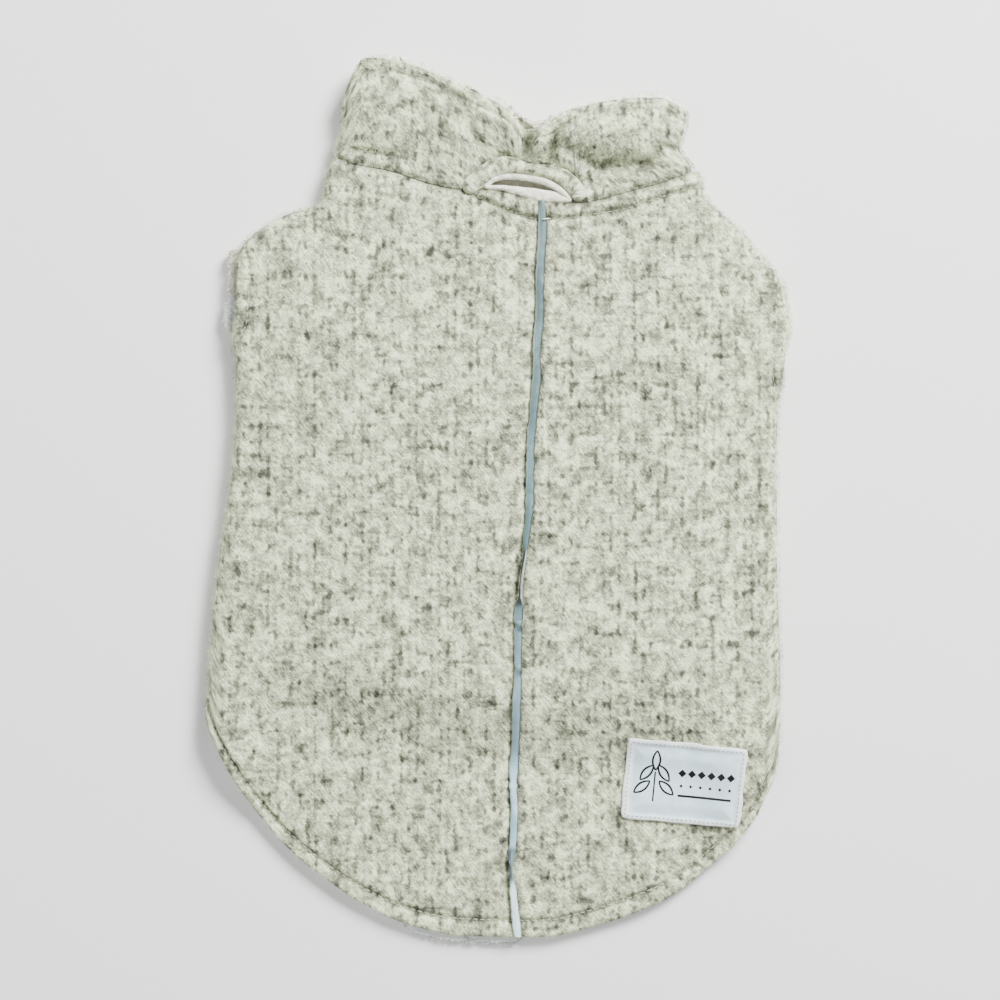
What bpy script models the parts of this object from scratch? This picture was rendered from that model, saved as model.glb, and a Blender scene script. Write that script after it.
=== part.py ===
"""A lined pullover coat for a small dog, laid flat on a surface with its back up.

X runs across the coat, Y from the hem to the collar, Z up. The origin is on the
surface under the middle of the coat. The tables are in millimetres.
The back wraps round both side folds to side seams under the coat, so a doubled
coat lies LAY high, and its tail, below the belly panel, sinks to the surface.
"""
import math

import bmesh
import bpy
import numpy as np
from mathutils import Vector
from mathutils.bvhtree import BVHTree

MM = 0.001
FACE_CLOTH = 2.0      # knit-faced fleece
LINING_CLOTH = 2.6    # pile lining
SEAM_GAP = 0.3        # between pieces at a seam
LINING_GAP = 0.5      # between a cloth and its lining
LAY = 12.0            # height of the doubled coat at its folds
CROWN = 1.3           # how much higher it billows away from the folds
BILLOW = 30.0         # how far in from the fold it reaches that height
TAIL = 5.2            # height at the hem, where only the back lies there
TAIL_RUN = 34.0       # length over which the tail sinks
HEM_TURN = 2.5        # how steeply the hem climbs round the side fold
EDGE_RUN = 8.0        # a shorter wrap than this is an armhole's free edge
NECK_RUN = 24.0       # a longer one runs under the coat
TOP_COLUMNS = 8       # columns from the centre seam to a fold
TURN_COLUMNS = 5      # columns round a fold
UNDER_COLUMNS = 2     # columns from a fold to the side seam
BELLY_COLUMNS = 6
NECK_PULL = 40.0      # how far the front neck seam runs straight in from the folds
NECK_FADE = 75.0      # how far down the belly that curve is felt
BELLY_DIP = 7.0       # the belly hem's dip
FRONT_PEEK = 2.2      # how far the collar's front shows past its back
SLIT_WELT = 2.4       # radius of the welt over the leash slit
SLIT_EDGE = 1.1       # radius of the slit's rolled facing
PIPING_THICK = 0.9
LABEL_THICK = 0.5

# Side folds from the collar's top down to the hem, a row for each section.
# x, y: outermost point; half: half the height there; bulge: past that half;
# wrap: how far the back runs on from where it starts to bend;
# belly: the belly panel's edge outward of that line, where the armhole is open;
# lift: how much higher the row ends under the coat than it starts.
COLLAR_ROWS = 9
LEFT_FOLD = np.array([
    # x       y      half bulge wrap  belly lift
    (-65.8, 187.0, 6.8, 0.4, 21.4, 0.0, 11.0),
    (-65.9, 181.0, 6.9, 0.5, 21.7, 0.0, 7.0),
    (-66.0, 175.0, 7.0, 0.6, 22.0, 0.0, 4.0),
    (-66.2, 169.0, 6.9, 0.4, 21.7, 0.0, 2.0),
    (-66.4, 163.5, 6.7, 0.0, 21.0, 0.0, 1.0),
    (-66.9, 158.5, 6.4, -0.7, 20.1, 0.0, 0.0),
    (-68.0, 154.0, 6.2, 0.5, 19.5, 0.0, 0.0),
    (-69.4, 149.8, 6.0, 0.3, 18.9, 0.0, 0.0),
    (-70.8, 145.4, 6.0, -0.3, 24.8, 0.0, 0.0),
    (-73.0, 140.0, 6.0, 0.2, 24.8, 0.0, 0.0),
    (-74.2, 134.0, 6.0, 0.3, 24.8, 0.0, 0.0),
    (-75.0, 128.6, 6.0, -0.3, 24.8, 0.0, 0.0),
    (-79.4, 124.6, 6.0, 0.0, 24.4, 0.0, 0.0),
    (-88.0, 122.2, 6.0, 0.0, 23.0, 0.0, 0.0),
    (-96.5, 118.6, 6.0, 0.0, 20.6, 0.0, 0.0),
    (-103.5, 114.0, 6.0, 0.0, 17.2, -1.6, 0.0),
    (-107.6, 110.2, 6.0, 0.0, 13.4, -1.2, 0.0),
    (-109.8, 106.6, 6.0, 0.0, 9.6, -0.9, 0.0),
    (-111.2, 102.4, 6.0, 0.0, 6.6, 4.8, 0.0),
    (-112.4, 96.5, 6.0, 0.0, 4.8, 8.8, 0.0),
    (-113.2, 87.0, 6.0, 0.0, 4.5, 9.8, 0.0),
    (-113.5, 78.0, 6.0, 0.0, 4.8, 9.5, 0.0),
    (-113.4, 72.0, 6.0, 0.0, 6.6, 6.2, 0.0),
    (-113.2, 67.5, 6.0, 0.0, 9.6, -0.5, 0.0),
    (-113.0, 63.5, 6.0, 0.0, 13.4, -1.2, 0.0),
    (-112.7, 59.5, 6.0, 0.0, 17.2, -1.6, 0.0),
    (-112.4, 55.0, 6.0, 0.0, 21.5, 0.0, 0.0),
    (-112.2, 49.5, 6.0, 0.0, 29.0, 0.0, 0.0),
    (-112.1, 43.0, 6.0, 0.0, 39.0, 0.0, 0.0),
    (-112.3, 35.0, 6.0, 0.0, 49.0, 0.0, 0.0),
    (-113.3, 22.0, 6.0, 0.0, 54.0, 0.0, 0.0),
    (-115.5, 0.0, 6.0, 0.0, 54.0, 0.0, 0.0),
    (-118.5, -19.0, 6.0, 0.0, 54.0, 0.0, 4.0),
    (-120.6, -36.0, 6.0, 0.0, 54.0, 0.0, 10.0),
    (-122.3, -53.0, 6.0, 0.0, 54.0, 0.0, 18.0),
    (-123.6, -70.0, 6.0, 0.0, 54.0, 0.0, 26.0),
    (-124.4, -84.0, 6.0, 0.0, 54.0, 0.0, 34.0),
    (-124.6, -97.0, 6.0, 0.0, 54.0, 0.0, 41.0),
    (-124.5, -108.6, 6.0, 0.0, 54.0, 0.0, 46.0),
])
RIGHT_FOLD = np.array([
    # x       y      half bulge wrap  belly lift
    (77.4, 170.9, 7.4, 0.5, 23.3, 0.0, 9.0),
    (77.8, 166.5, 7.8, 0.8, 24.5, 0.0, 6.0),
    (77.9, 161.5, 8.0, 1.0, 25.1, 0.0, 3.5),
    (77.6, 156.5, 7.8, 0.6, 24.5, 0.0, 1.5),
    (77.2, 152.5, 7.2, -0.4, 22.6, 0.0, 0.5),
    (77.4, 149.0, 6.6, -1.0, 20.7, 0.0, 0.0),
    (78.6, 146.0, 6.2, -0.4, 19.5, 0.0, 0.0),
    (80.4, 143.2, 6.0, 0.0, 18.9, 0.0, 0.0),
    (82.4, 140.4, 6.0, 0.1, 24.8, 0.0, 0.0),
    (85.0, 136.0, 6.0, 0.2, 24.8, 0.0, 0.0),
    (87.0, 131.0, 6.0, 0.2, 24.8, 0.0, 0.0),
    (89.8, 125.8, 6.0, -0.2, 24.8, 0.0, 0.0),
    (96.6, 119.8, 6.0, 0.0, 24.4, 0.0, 0.0),
    (105.0, 111.8, 6.0, 0.0, 23.0, 0.0, 0.0),
    (111.6, 103.6, 6.0, 0.0, 20.4, 0.0, 0.0),
    (115.4, 98.8, 6.0, 0.0, 17.0, -1.6, 0.0),
    (118.2, 95.0, 6.0, 0.0, 13.2, -1.2, 0.0),
    (120.2, 91.8, 6.0, 0.0, 9.6, -0.9, 0.0),
    (121.9, 88.2, 6.0, 0.0, 6.6, 3.6, 0.0),
    (123.4, 83.0, 6.0, 0.0, 4.8, 6.0, 0.0),
    (124.1, 75.5, 6.0, 0.0, 4.5, 6.2, 0.0),
    (123.6, 66.5, 6.0, 0.0, 4.5, 5.2, 0.0),
    (122.0, 57.5, 6.0, 0.0, 4.8, 3.0, 0.0),
    (120.4, 51.5, 6.0, 0.0, 6.6, 1.0, 0.0),
    (119.3, 47.0, 6.0, 0.0, 9.6, -0.9, 0.0),
    (118.6, 43.0, 6.0, 0.0, 13.4, -1.2, 0.0),
    (118.2, 39.0, 6.0, 0.0, 17.2, -1.6, 0.0),
    (118.0, 34.5, 6.0, 0.0, 21.5, 0.0, 0.0),
    (117.9, 29.0, 6.0, 0.0, 29.0, 0.0, 0.0),
    (117.8, 22.5, 6.0, 0.0, 39.0, 0.0, 0.0),
    (117.8, 14.0, 6.0, 0.0, 49.0, 0.0, 0.0),
    (117.7, 1.0, 6.0, 0.0, 54.0, 0.0, 0.0),
    (117.8, -18.0, 6.0, 0.0, 54.0, 0.0, 3.0),
    (118.0, -37.0, 6.0, 0.0, 54.0, 0.0, 9.0),
    (118.7, -56.0, 6.0, 0.0, 54.0, 0.0, 17.0),
    (119.3, -75.0, 6.0, 0.0, 54.0, 0.0, 26.0),
    (119.1, -94.0, 6.0, 0.0, 54.0, 0.0, 34.0),
    (118.1, -112.0, 6.0, 0.0, 54.0, 0.0, 42.0),
    (117.5, -128.0, 6.0, 0.0, 54.0, 0.0, 48.0),
])
# Centre back seam, from the neck to the hem.
CENTRE_SEAM = np.array([
    # x      y
    (17.6, 126.5), (18.4, 117.0), (17.3, 99.0), (16.3, 71.0), (14.8, 42.5),
    (12.8, 16.0), (12.1, -4.0), (10.2, -21.0), (8.2, -38.0), (7.7, -71.0),
    (6.9, -99.0), (5.8, -122.0), (5.9, -141.0), (4.8, -155.0), (6.0, -168.0), (8.0, -185.7),
])
# Neck seam on the back, from one fold to the other.
NECK_SEAM = np.array([
    # x      y
    (-65.5, 142.6), (-58.2, 141.3), (-43.8, 138.4), (-36.1, 135.6), (-24.2, 132.4),
    (-13.5, 131.2), (-2.5, 131.6), (4.3, 130.0), (11.0, 128.2), (17.6, 126.5),
    (25.5, 125.6), (33.0, 125.4), (43.8, 127.3), (55.3, 130.6), (66.0, 133.4), (77.2, 137.3),
])
# The collar's lower edge over the slit stands clear of the welt.
SLIT_ARCH = np.array([
    # x      y
    (-18.0, 131.4), (-14.8, 135.4), (-9.6, 141.4), (-3.4, 145.6), (3.4, 146.4), (12.5, 144.4),
    (22.0, 142.6), (29.4, 140.0), (34.2, 135.2), (37.2, 129.6), (39.6, 126.5),
])
# The collar's top edge on the back.
COLLAR_TOP = np.array([
    # x      y
    (-59.0, 186.6), (-50.0, 187.2), (-42.5, 186.2), (-34.0, 183.6), (-25.5, 180.2),
    (-11.5, 173.4), (3.0, 166.2), (8.1, 160.2), (11.8, 156.8), (15.7, 158.0), (20.4, 159.8),
    (26.8, 163.0), (34.0, 166.4), (42.5, 168.7), (50.6, 170.0), (60.0, 170.8), (70.0, 170.8),
])
# Hem of the back, from the centre seam to each fold.
LEFT_HEM = np.array([
    # x      y
    (8.0, -185.7), (-6.8, -185.3), (-19.6, -184.6), (-40.0, -180.0), (-61.6, -169.6),
    (-78.2, -158.1), (-90.1, -148.0), (-98.5, -139.0), (-107.1, -127.5), (-114.0, -117.0),
    (-118.5, -108.6),
])
RIGHT_HEM = np.array([
    # x      y
    (8.0, -185.7), (21.3, -185.5), (34.0, -182.8), (51.0, -177.7), (68.0, -170.9),
    (80.0, -163.2), (91.4, -153.8), (98.2, -147.9), (104.5, -140.3), (108.5, -134.3),
    (111.5, -128.0),
])
# How far down the doubled coat reaches; below this the tail sinks.
DOUBLED = np.array([
    # x      y
    (-125.0, -86.0), (-118.0, -84.0), (-84.0, -68.0), (0.0, -80.0), (76.0, -86.0),
    (112.0, -101.0), (125.0, -104.0),
])
# Broad folds of the back and of the collar: a line, its half width, its rise.
BACK_FOLDS = np.array([
    # x0     y0     x1     y1    half  rise
    (103.0, 73.0, 116.0, 40.0, 6.0, -1.3),
    (-64.0, 84.0, -58.0, -70.0, 26.0, 0.8),
    (70.0, 60.0, 66.0, -60.0, 24.0, 0.7),
    (-30.0, 112.0, -8.0, 66.0, 14.0, -0.6),
    (52.0, 108.0, 84.0, 92.0, 9.0, -0.7),
])
COLLAR_FOLDS = np.array([
    # x0     y0     x1     y1    half  rise
    (-44.0, 168.0, -30.0, 160.0, 17.0, 2.2),
    (-66.0, 148.6, -40.0, 144.0, 3.2, -1.3),
    (-20.0, 168.0, -10.0, 148.0, 5.0, -1.0),
    (10.0, 156.0, 9.6, 146.0, 4.2, -1.2),
    (22.8, 158.0, 21.4, 146.0, 4.2, -1.1),
    (36.0, 156.0, 70.0, 159.0, 9.5, 4.2),
    (38.0, 142.4, 62.0, 142.6, 3.2, -1.6),
    (62.0, 142.6, 76.0, 148.6, 3.0, -1.4),
])
# Welt over the slit and the facing round it.
WELT_LINE = np.array([
    # x      y     radius
    (-12.8, 132.7, 0.70), (-9.6, 136.6, 0.88), (-4.2, 140.8, 0.98), (3.2, 141.2, 0.94),
    (12.5, 139.2, 0.9), (21.0, 138.5, 0.92), (26.4, 136.9, 0.92), (30.8, 132.8, 0.96), (33.8, 127.9, 0.9),
])
FACING_LINE = np.array([
    # x      y
    (-3.6, 133.6), (-0.2, 136.6), (7.2, 137.0), (14.0, 135.9), (20.4, 134.3), (26.2, 130.7),
    (29.6, 127.2), (24.6, 127.4), (17.6, 128.6), (11.0, 130.2), (4.3, 131.8), (-0.6, 132.9),
])
# Piping: half width along the seam (it twists and narrows in two places).
PIPING_WIDTH = np.array([
    # y      half
    (126.0, 1.5), (112.0, 1.7), (60.0, 1.6), (0.0, 1.6), (-18.0, 1.3), (-24.0, 0.8), (-31.0, 1.2),
    (-60.0, 1.5), (-110.0, 1.6), (-148.0, 1.3), (-155.0, 0.8), (-162.0, 1.2), (-184.0, 1.5),
])
LABEL_CORNERS = np.array([
    # x      y
    (54.4, -100.7), (105.0, -105.4), (101.2, -139.4), (51.4, -135.2),
])

SCENE_NAME = "dog_coat"


def ramp(t):
    """Smooth step from 0 to 1."""
    t = np.clip(t, 0.0, 1.0)
    return t * t * (3.0 - 2.0 * t)


def along(rows):
    """Share of a line's length at each of its rows."""
    run = np.r_[0.0, np.cumsum(np.hypot(*np.diff(rows[:, :2], axis=0).T))]
    return run / run[-1]


def through(stations, rows, at):
    """Cubic through the rows that never overshoots them."""
    rows = rows.reshape(len(rows), -1)
    at = np.clip(np.asarray(at, float), stations[0], stations[-1])
    gap = np.diff(stations)
    rate = np.diff(rows, axis=0) / gap[:, None]
    tangent = np.zeros_like(rows)
    same = rate[:-1] * rate[1:] > 0
    mean = 2.0 * rate[:-1] * rate[1:] / np.where(same, rate[:-1] + rate[1:], 1.0)
    tangent[1:-1] = np.where(same, mean, 0.0)
    tangent[0], tangent[-1] = rate[0], rate[-1]
    k = np.clip(np.searchsorted(stations, at) - 1, 0, len(gap) - 1)
    t = ((at - stations[k]) / gap[k])[..., None]
    step = gap[k][..., None]
    return ((1 + 2 * t) * (1 - t) ** 2 * rows[k] + t * (1 - t) ** 2 * step * tangent[k]
            + t * t * (3 - 2 * t) * rows[k + 1] - t * t * (1 - t) * step * tangent[k + 1])


def line(rows, at):
    """Points at shares of a line's length."""
    return through(along(rows), rows, at)


def by_x(rows, x):
    """Second column read at x."""
    return through(rows[:, 0], rows[:, 1], x)[..., 0]


class Fold:
    """A side fold: where it runs, which way is out, and how thick it is."""

    def __init__(self, rows, side):
        self.rows, self.side = rows, side
        self.at = along(rows)
        self.length = np.hypot(*np.diff(rows[:, :2], axis=0).T).sum()
        self.dense = line(rows, np.linspace(0, 1, 400))[:, :2]

    def frame(self, s):
        """Outermost point, outward direction, half height and bulge at s."""
        rows = through(self.at, self.rows, s)
        reach = 5.0 / self.length
        ahead = through(self.at, self.rows, np.clip(s + reach, 0, 1))[..., :2]
        back = through(self.at, self.rows, np.clip(s - reach, 0, 1))[..., :2]
        run = ahead - back
        run = run / np.linalg.norm(run, axis=-1, keepdims=True)
        out = np.stack([run[..., 1], -run[..., 0]], -1) * -self.side
        return rows[..., :2], out, rows[..., 2], rows[..., 3]

    def bend(self, s):
        """The line where the flat top starts to bend."""
        edge, out, half, _ = self.frame(s)
        return edge - out * half[..., None]

    def point(self, s, run, top):
        """Point at a run past the bend line; top is the height on that line."""
        edge, out, half, bulge = self.frame(s)
        start = edge - out * half[..., None]
        turn = np.clip(run / half, 0.0, math.pi)
        under = np.maximum(run - math.pi * half, 0.0)
        reach = (half + bulge) * np.sin(turn) - under
        flat = start + out * reach[..., None]
        settle = (top - 2 * half) * np.clip(1 - turn / (math.pi / 2), 0, 1) ** 2
        height = half + half * np.cos(turn) + settle
        return np.concatenate([flat, height[..., None]], -1)


LEFT, RIGHT = Fold(LEFT_FOLD, -1), Fold(RIGHT_FOLD, 1)


def fold_distance(flat):
    """Distance in plan from the nearer side fold."""
    edge = np.concatenate([LEFT.dense, RIGHT.dense])
    return np.linalg.norm(flat[..., None, :] - edge, axis=-1).min(-1)


def creases(flat, table):
    """Sum of the soft troughs and ridges."""
    rise = np.zeros(flat.shape[:-1])
    for x0, y0, x1, y1, half, lift in table:
        start, run = np.array((x0, y0)), np.array((x1 - x0, y1 - y0))
        share = np.clip(((flat - start) @ run) / (run @ run), 0, 1)
        off = np.linalg.norm(flat - start - share[..., None] * run, axis=-1)
        rise += lift * np.exp(-((off / half) ** 2))
    return rise


def back_height(flat):
    """Height of the back's face above the surface."""
    inside = fold_distance(flat) - LAY / 2
    full = LAY + (CROWN + creases(flat, BACK_FOLDS)) * ramp(inside / BILLOW)
    sink = ramp((by_x(DOUBLED, flat[..., 0]) - flat[..., 1]) / TAIL_RUN)
    sink = sink * (0.25 + 0.75 * ramp(inside / 32.0))
    return full * (1 - sink) + TAIL * sink


def back_half(fold, hem):
    """Points of one half of the back: rows down the coat, columns outward."""
    stations = fold.at[COLLAR_ROWS - 1:]
    table = fold.rows[COLLAR_ROWS - 1:]
    bend = fold.bend(stations)
    v = sum(along(each.bend(each.at[COLLAR_ROWS - 1:])) for each in (LEFT, RIGHT)) / 2
    centre = line(CENTRE_SEAM, v) + np.array((fold.side * SEAM_GAP / 2, 0.0))
    u = np.linspace(0, 1, TOP_COLUMNS + 1)
    neck_x = centre[0, 0] + (bend[0, 0] - centre[0, 0]) * u
    neck = np.stack([neck_x, by_x(NECK_SEAM, neck_x)], -1)
    bottom = line(hem, u)
    bottom[0], bottom[-1] = centre[-1], bend[-1]
    neck[0], neck[-1] = centre[0], bend[0]
    uu, vv = u[None, :, None], v[:, None, None]
    corners = ((1 - uu) * (1 - vv) * neck[0] + uu * (1 - vv) * neck[-1]
               + (1 - uu) * vv * bottom[0] + uu * vv * bottom[-1])
    flat = ((1 - uu) * centre[:, None] + uu * bend[:, None]
            + (1 - vv) * neck[None] + vv * bottom[None] - corners)
    top = np.concatenate([flat, back_height(flat)[..., None]], -1)
    half = table[:, 2]
    wrap, lift = table[:, 4], table[:, 6]
    arc = math.pi * half
    count = TURN_COLUMNS + UNDER_COLUMNS
    round_fold = ramp((wrap - EDGE_RUN) / (NECK_RUN - EDGE_RUN))
    rows = []
    for k in range(1, count + 1):
        turn = min(k, TURN_COLUMNS) / TURN_COLUMNS * np.minimum(arc, wrap)
        under = max(k - TURN_COLUMNS, 0) / UNDER_COLUMNS * np.maximum(wrap - arc, 0)
        run = round_fold * (turn + under) + (1 - round_fold) * wrap * k / count
        share = run / wrap
        climb = lift * (1 - (1 - share) ** HEM_TURN)
        rows.append(fold.point(stations - climb / fold.length, run, top[:, -1, 2]))
    return np.concatenate([top, np.stack(rows, 1)], 1)


def front_neck(shares):
    """The neck seam under the coat, from the left fold to the right one."""
    ends = []
    for fold in (LEFT, RIGHT):
        start = fold.bend(fold.at[COLLAR_ROWS - 1])
        out = fold.frame(fold.at[COLLAR_ROWS - 1])[1]
        ends.append((start, start - out * NECK_PULL))
    (a, b), (d, c) = ends
    t = np.asarray(shares)[:, None]
    return (1 - t) ** 3 * a + 3 * t * (1 - t) ** 2 * b + 3 * t * t * (1 - t) * c + t ** 3 * d


def front_shares():
    """Shares of that seam between the back's two underside strips."""
    strip = LEFT.rows[COLLAR_ROWS - 1, 4] - math.pi * LAY / 2 + SEAM_GAP
    start = strip / (3 * NECK_PULL)
    return np.linspace(start, 1 - start, BELLY_COLUMNS + 1)


def belly_points():
    """Points of the belly panel's underside, from the neck to the belly hem."""
    edges = []
    for fold in (LEFT, RIGHT):
        stations, table = fold.at[COLLAR_ROWS - 1:], fold.rows[COLLAR_ROWS - 1:]
        at = stations - table[:, 6] / fold.length
        under = table[:, 4] - math.pi * table[:, 2]
        reach = np.where(under > 0, -under - SEAM_GAP, table[:, 5])
        edges.append(fold.bend(at) + fold.frame(at)[1] * reach[:, None])
    u = np.linspace(0, 1, BELLY_COLUMNS + 1)[None, :, None]
    flat = (1 - u) * edges[0][:, None] + u * edges[1][:, None]
    neck = front_neck(front_shares()) - flat[0]
    low = (edges[0][:, 1] + edges[1][:, 1]) / 2
    fade = 1 - ramp((low[0] - low) / NECK_FADE)
    dip = 4 * u * (1 - u) * BELLY_DIP * ramp(1 - (low - low[-1]) / 60.0)[:, None, None]
    flat = flat + neck[None] * fade[:, None, None] - dip * np.array((0.0, 1.0))
    return np.concatenate([flat, np.zeros(flat.shape[:-1] + (1,))], -1)


def collar_points():
    """Points of the collar's face: rows from the top down to the neck seam."""
    v = np.linspace(1, 0, COLLAR_ROWS)
    gap = SEAM_GAP + 0.1
    left_at, right_at = LEFT.at[:COLLAR_ROWS].copy(), RIGHT.at[:COLLAR_ROWS].copy()
    left_at[-1] -= gap / LEFT.length
    right_at[-1] -= gap / RIGHT.length
    bend_l, bend_r = LEFT.bend(left_at), RIGHT.bend(right_at)
    low_x = np.r_[np.linspace(bend_l[-1, 0], -24.0, 6), np.linspace(-18.0, 39.6, 18),
                  np.linspace(47.0, bend_r[-1, 0], 5)]
    seam = by_x(NECK_SEAM, low_x) + gap
    arch = by_x(SLIT_ARCH, low_x)
    inside = (low_x > SLIT_ARCH[0, 0]) & (low_x < SLIT_ARCH[-1, 0])
    low = np.stack([low_x, np.where(inside, np.maximum(arch, seam), seam)], -1)
    low[0], low[-1] = bend_l[-1], bend_r[-1]
    share = (low_x - low_x[0]) / (low_x[-1] - low_x[0])
    high_x = bend_l[0, 0] + share * (bend_r[0, 0] - bend_l[0, 0])
    high = np.stack([high_x, by_x(COLLAR_TOP, high_x)], -1)
    high[0], high[-1] = bend_l[0], bend_r[0]
    vv, uu = v[:, None, None], share[None, :, None]
    corners = (vv * ((1 - uu) * high[0] + uu * high[-1])
               + (1 - vv) * ((1 - uu) * low[0] + uu * low[-1]))
    flat = (vv * high[None] + (1 - vv) * low[None]
            + (1 - uu) * bend_l[:, None] + uu * bend_r[:, None] - corners)
    lay_l, lay_r = 2 * LEFT.rows[:COLLAR_ROWS, 2], 2 * RIGHT.rows[:COLLAR_ROWS, 2]
    base = (1 - share)[None] * lay_l[:, None] + share[None] * lay_r[:, None]
    inside = ramp((fold_distance(flat) - LAY / 2) / 14.0)
    billow = CROWN * ramp((fold_distance(flat) - LAY / 2) / BILLOW)
    free = ramp(v / 0.3)[:, None]
    back = base + billow + creases(flat, COLLAR_FOLDS) * inside * free
    back = np.concatenate([flat, back[..., None]], -1)

    def turn(fold, at, top, shares):
        lift, half = fold.rows[:COLLAR_ROWS, 6], fold.rows[:COLLAR_ROWS, 2]
        return np.stack([fold.point(at + lift * (1 - (1 - t) ** 1.6) / fold.length,
                                    t * math.pi * half, top) for t in shares], 1)

    shares = np.arange(1, TURN_COLUMNS) / TURN_COLUMNS
    right = turn(RIGHT, right_at, back[:, -1, 2], shares)
    left = turn(LEFT, left_at, back[:, 0, 2], shares[::-1])
    front_r = turn(RIGHT, right_at, back[:, -1, 2], (1.0,))[:, 0]
    front_l = turn(LEFT, left_at, back[:, 0, 2], (1.0,))[:, 0]
    s = np.r_[0.0, front_shares(), 1.0]
    front = (1 - s)[None, :, None] * front_r[:, None] + s[None, :, None] * front_l[:, None]
    seam = front_neck(1 - s) + (0.0, gap) - front[-1, :, :2]
    seam[0], seam[-1] = 0.0, 0.0
    reach = np.minimum(0.0, by_x(COLLAR_TOP, front[0, :, 0]) + FRONT_PEEK - front[0, :, 1])
    front[..., :2] += seam[None] * ((1 - v) ** 2)[:, None, None]
    front[..., 1] += reach[None] * v[:, None]
    front[..., 2] = 0.0
    return np.concatenate([back, right, front, left], 1)


def slide(points, reach, row):
    """Lengthens (or shortens) the cloth at one of its end rows."""
    step = points[row] - points[row + (1 if row == 0 else -1)]
    step = step / np.linalg.norm(step, axis=-1, keepdims=True)
    points = points.copy()
    points[row] = points[row] + step * np.asarray(reach)[..., None]
    return points


def material(name, colour, rough, metal=0.0):
    mat = bpy.data.materials.new(name)
    mat.use_nodes = True
    shader = mat.node_tree.nodes["Principled BSDF"]
    shader.inputs["Base Color"].default_value = (*colour, 1.0)
    shader.inputs["Roughness"].default_value = rough
    shader.inputs["Metallic"].default_value = metal
    mat.diffuse_color = (*colour, 1.0)
    return mat


def cloth(name, points, thick, mat, parts, closed=False, depth=0.0):
    """A sheet of cloth through the points, or depth under them, as thick as it is."""
    rows, columns = points.shape[:2]
    mesh = bpy.data.meshes.new(name)
    bm = bmesh.new()
    if closed:
        bmesh.ops.create_grid(bm, x_segments=columns, y_segments=rows - 1, size=1.0)
    else:
        bmesh.ops.create_grid(bm, x_segments=columns - 1, y_segments=rows - 1, size=1.0)
    ring = np.concatenate([points, points[:, :1]], 1) if closed else points
    wide = ring.shape[1]
    for vert in bm.verts:
        col = round((vert.co.x + 1.0) / 2.0 * (wide - 1))
        row = round((1.0 - vert.co.y) / 2.0 * (rows - 1))
        vert.co = ring[row, col] * MM
    if closed:
        bmesh.ops.remove_doubles(bm, verts=bm.verts, dist=0.00001)
    bmesh.ops.triangulate(bm, faces=bm.faces, quad_method="FIXED")
    bm.normal_update()
    shift = [v.normal * (min(v.calc_shell_factor(), 1.2) * depth * MM) for v in bm.verts]
    for vert, step in zip(bm.verts, shift):
        vert.co -= step
    bm.to_mesh(mesh)
    bm.free()
    mesh.shade_smooth()
    mesh.set_sharp_from_angle(angle=math.radians(50))
    mesh.materials.append(mat)
    obj = bpy.data.objects.new(name, mesh)
    parts.objects.link(obj)
    solid = obj.modifiers.new("cloth", "SOLIDIFY")
    solid.thickness = thick * MM
    solid.offset = -1.0
    solid.use_even_offset = True
    return obj


def tube(name, table, radius, height, mat, parts, cyclic=False):
    """A rolled edge: a bevelled curve along the table's points."""
    shares = np.linspace(0, 1, 25 if cyclic else 19)
    rows = np.concatenate([table, table[:1]]) if cyclic else table
    points = line(rows, shares)
    if cyclic:
        points = points[:-1]
    data = bpy.data.curves.new(name, "CURVE")
    data.dimensions = "3D"
    data.bevel_depth = radius * MM
    data.bevel_resolution = 2
    data.use_fill_caps = True
    path = data.splines.new("POLY")
    path.points.add(len(points) - 1)
    for spot, row in zip(path.points, points):
        spot.co = (row[0] * MM, row[1] * MM, height * MM, 1.0)
        spot.radius = row[2] if len(row) > 2 else 1.0
    path.use_cyclic_u = cyclic
    data.materials.append(mat)
    obj = bpy.data.objects.new(name, data)
    parts.objects.link(obj)
    return obj


def over(objects, flat, clear):
    """Points above the given cloth, clear of its facets."""
    trees = []
    for obj in objects:
        bm = bmesh.new()
        bm.from_mesh(obj.data)
        trees.append(BVHTree.FromBMesh(bm))
        bm.free()
    spots = []
    for x, y in flat.reshape(-1, 2):
        tops = [t.ray_cast(Vector((x * MM, y * MM, 1.0)), Vector((0, 0, -1)))[0] for t in trees]
        tops = [t.z / MM for t in tops if t is not None]
        spots.append(max(tops) if tops else float(back_height(np.array([[x, y]]))[0]))
    top = np.array(spots).reshape(flat.shape[:-1])
    return np.concatenate([flat, (top + clear)[..., None]], -1)


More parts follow.
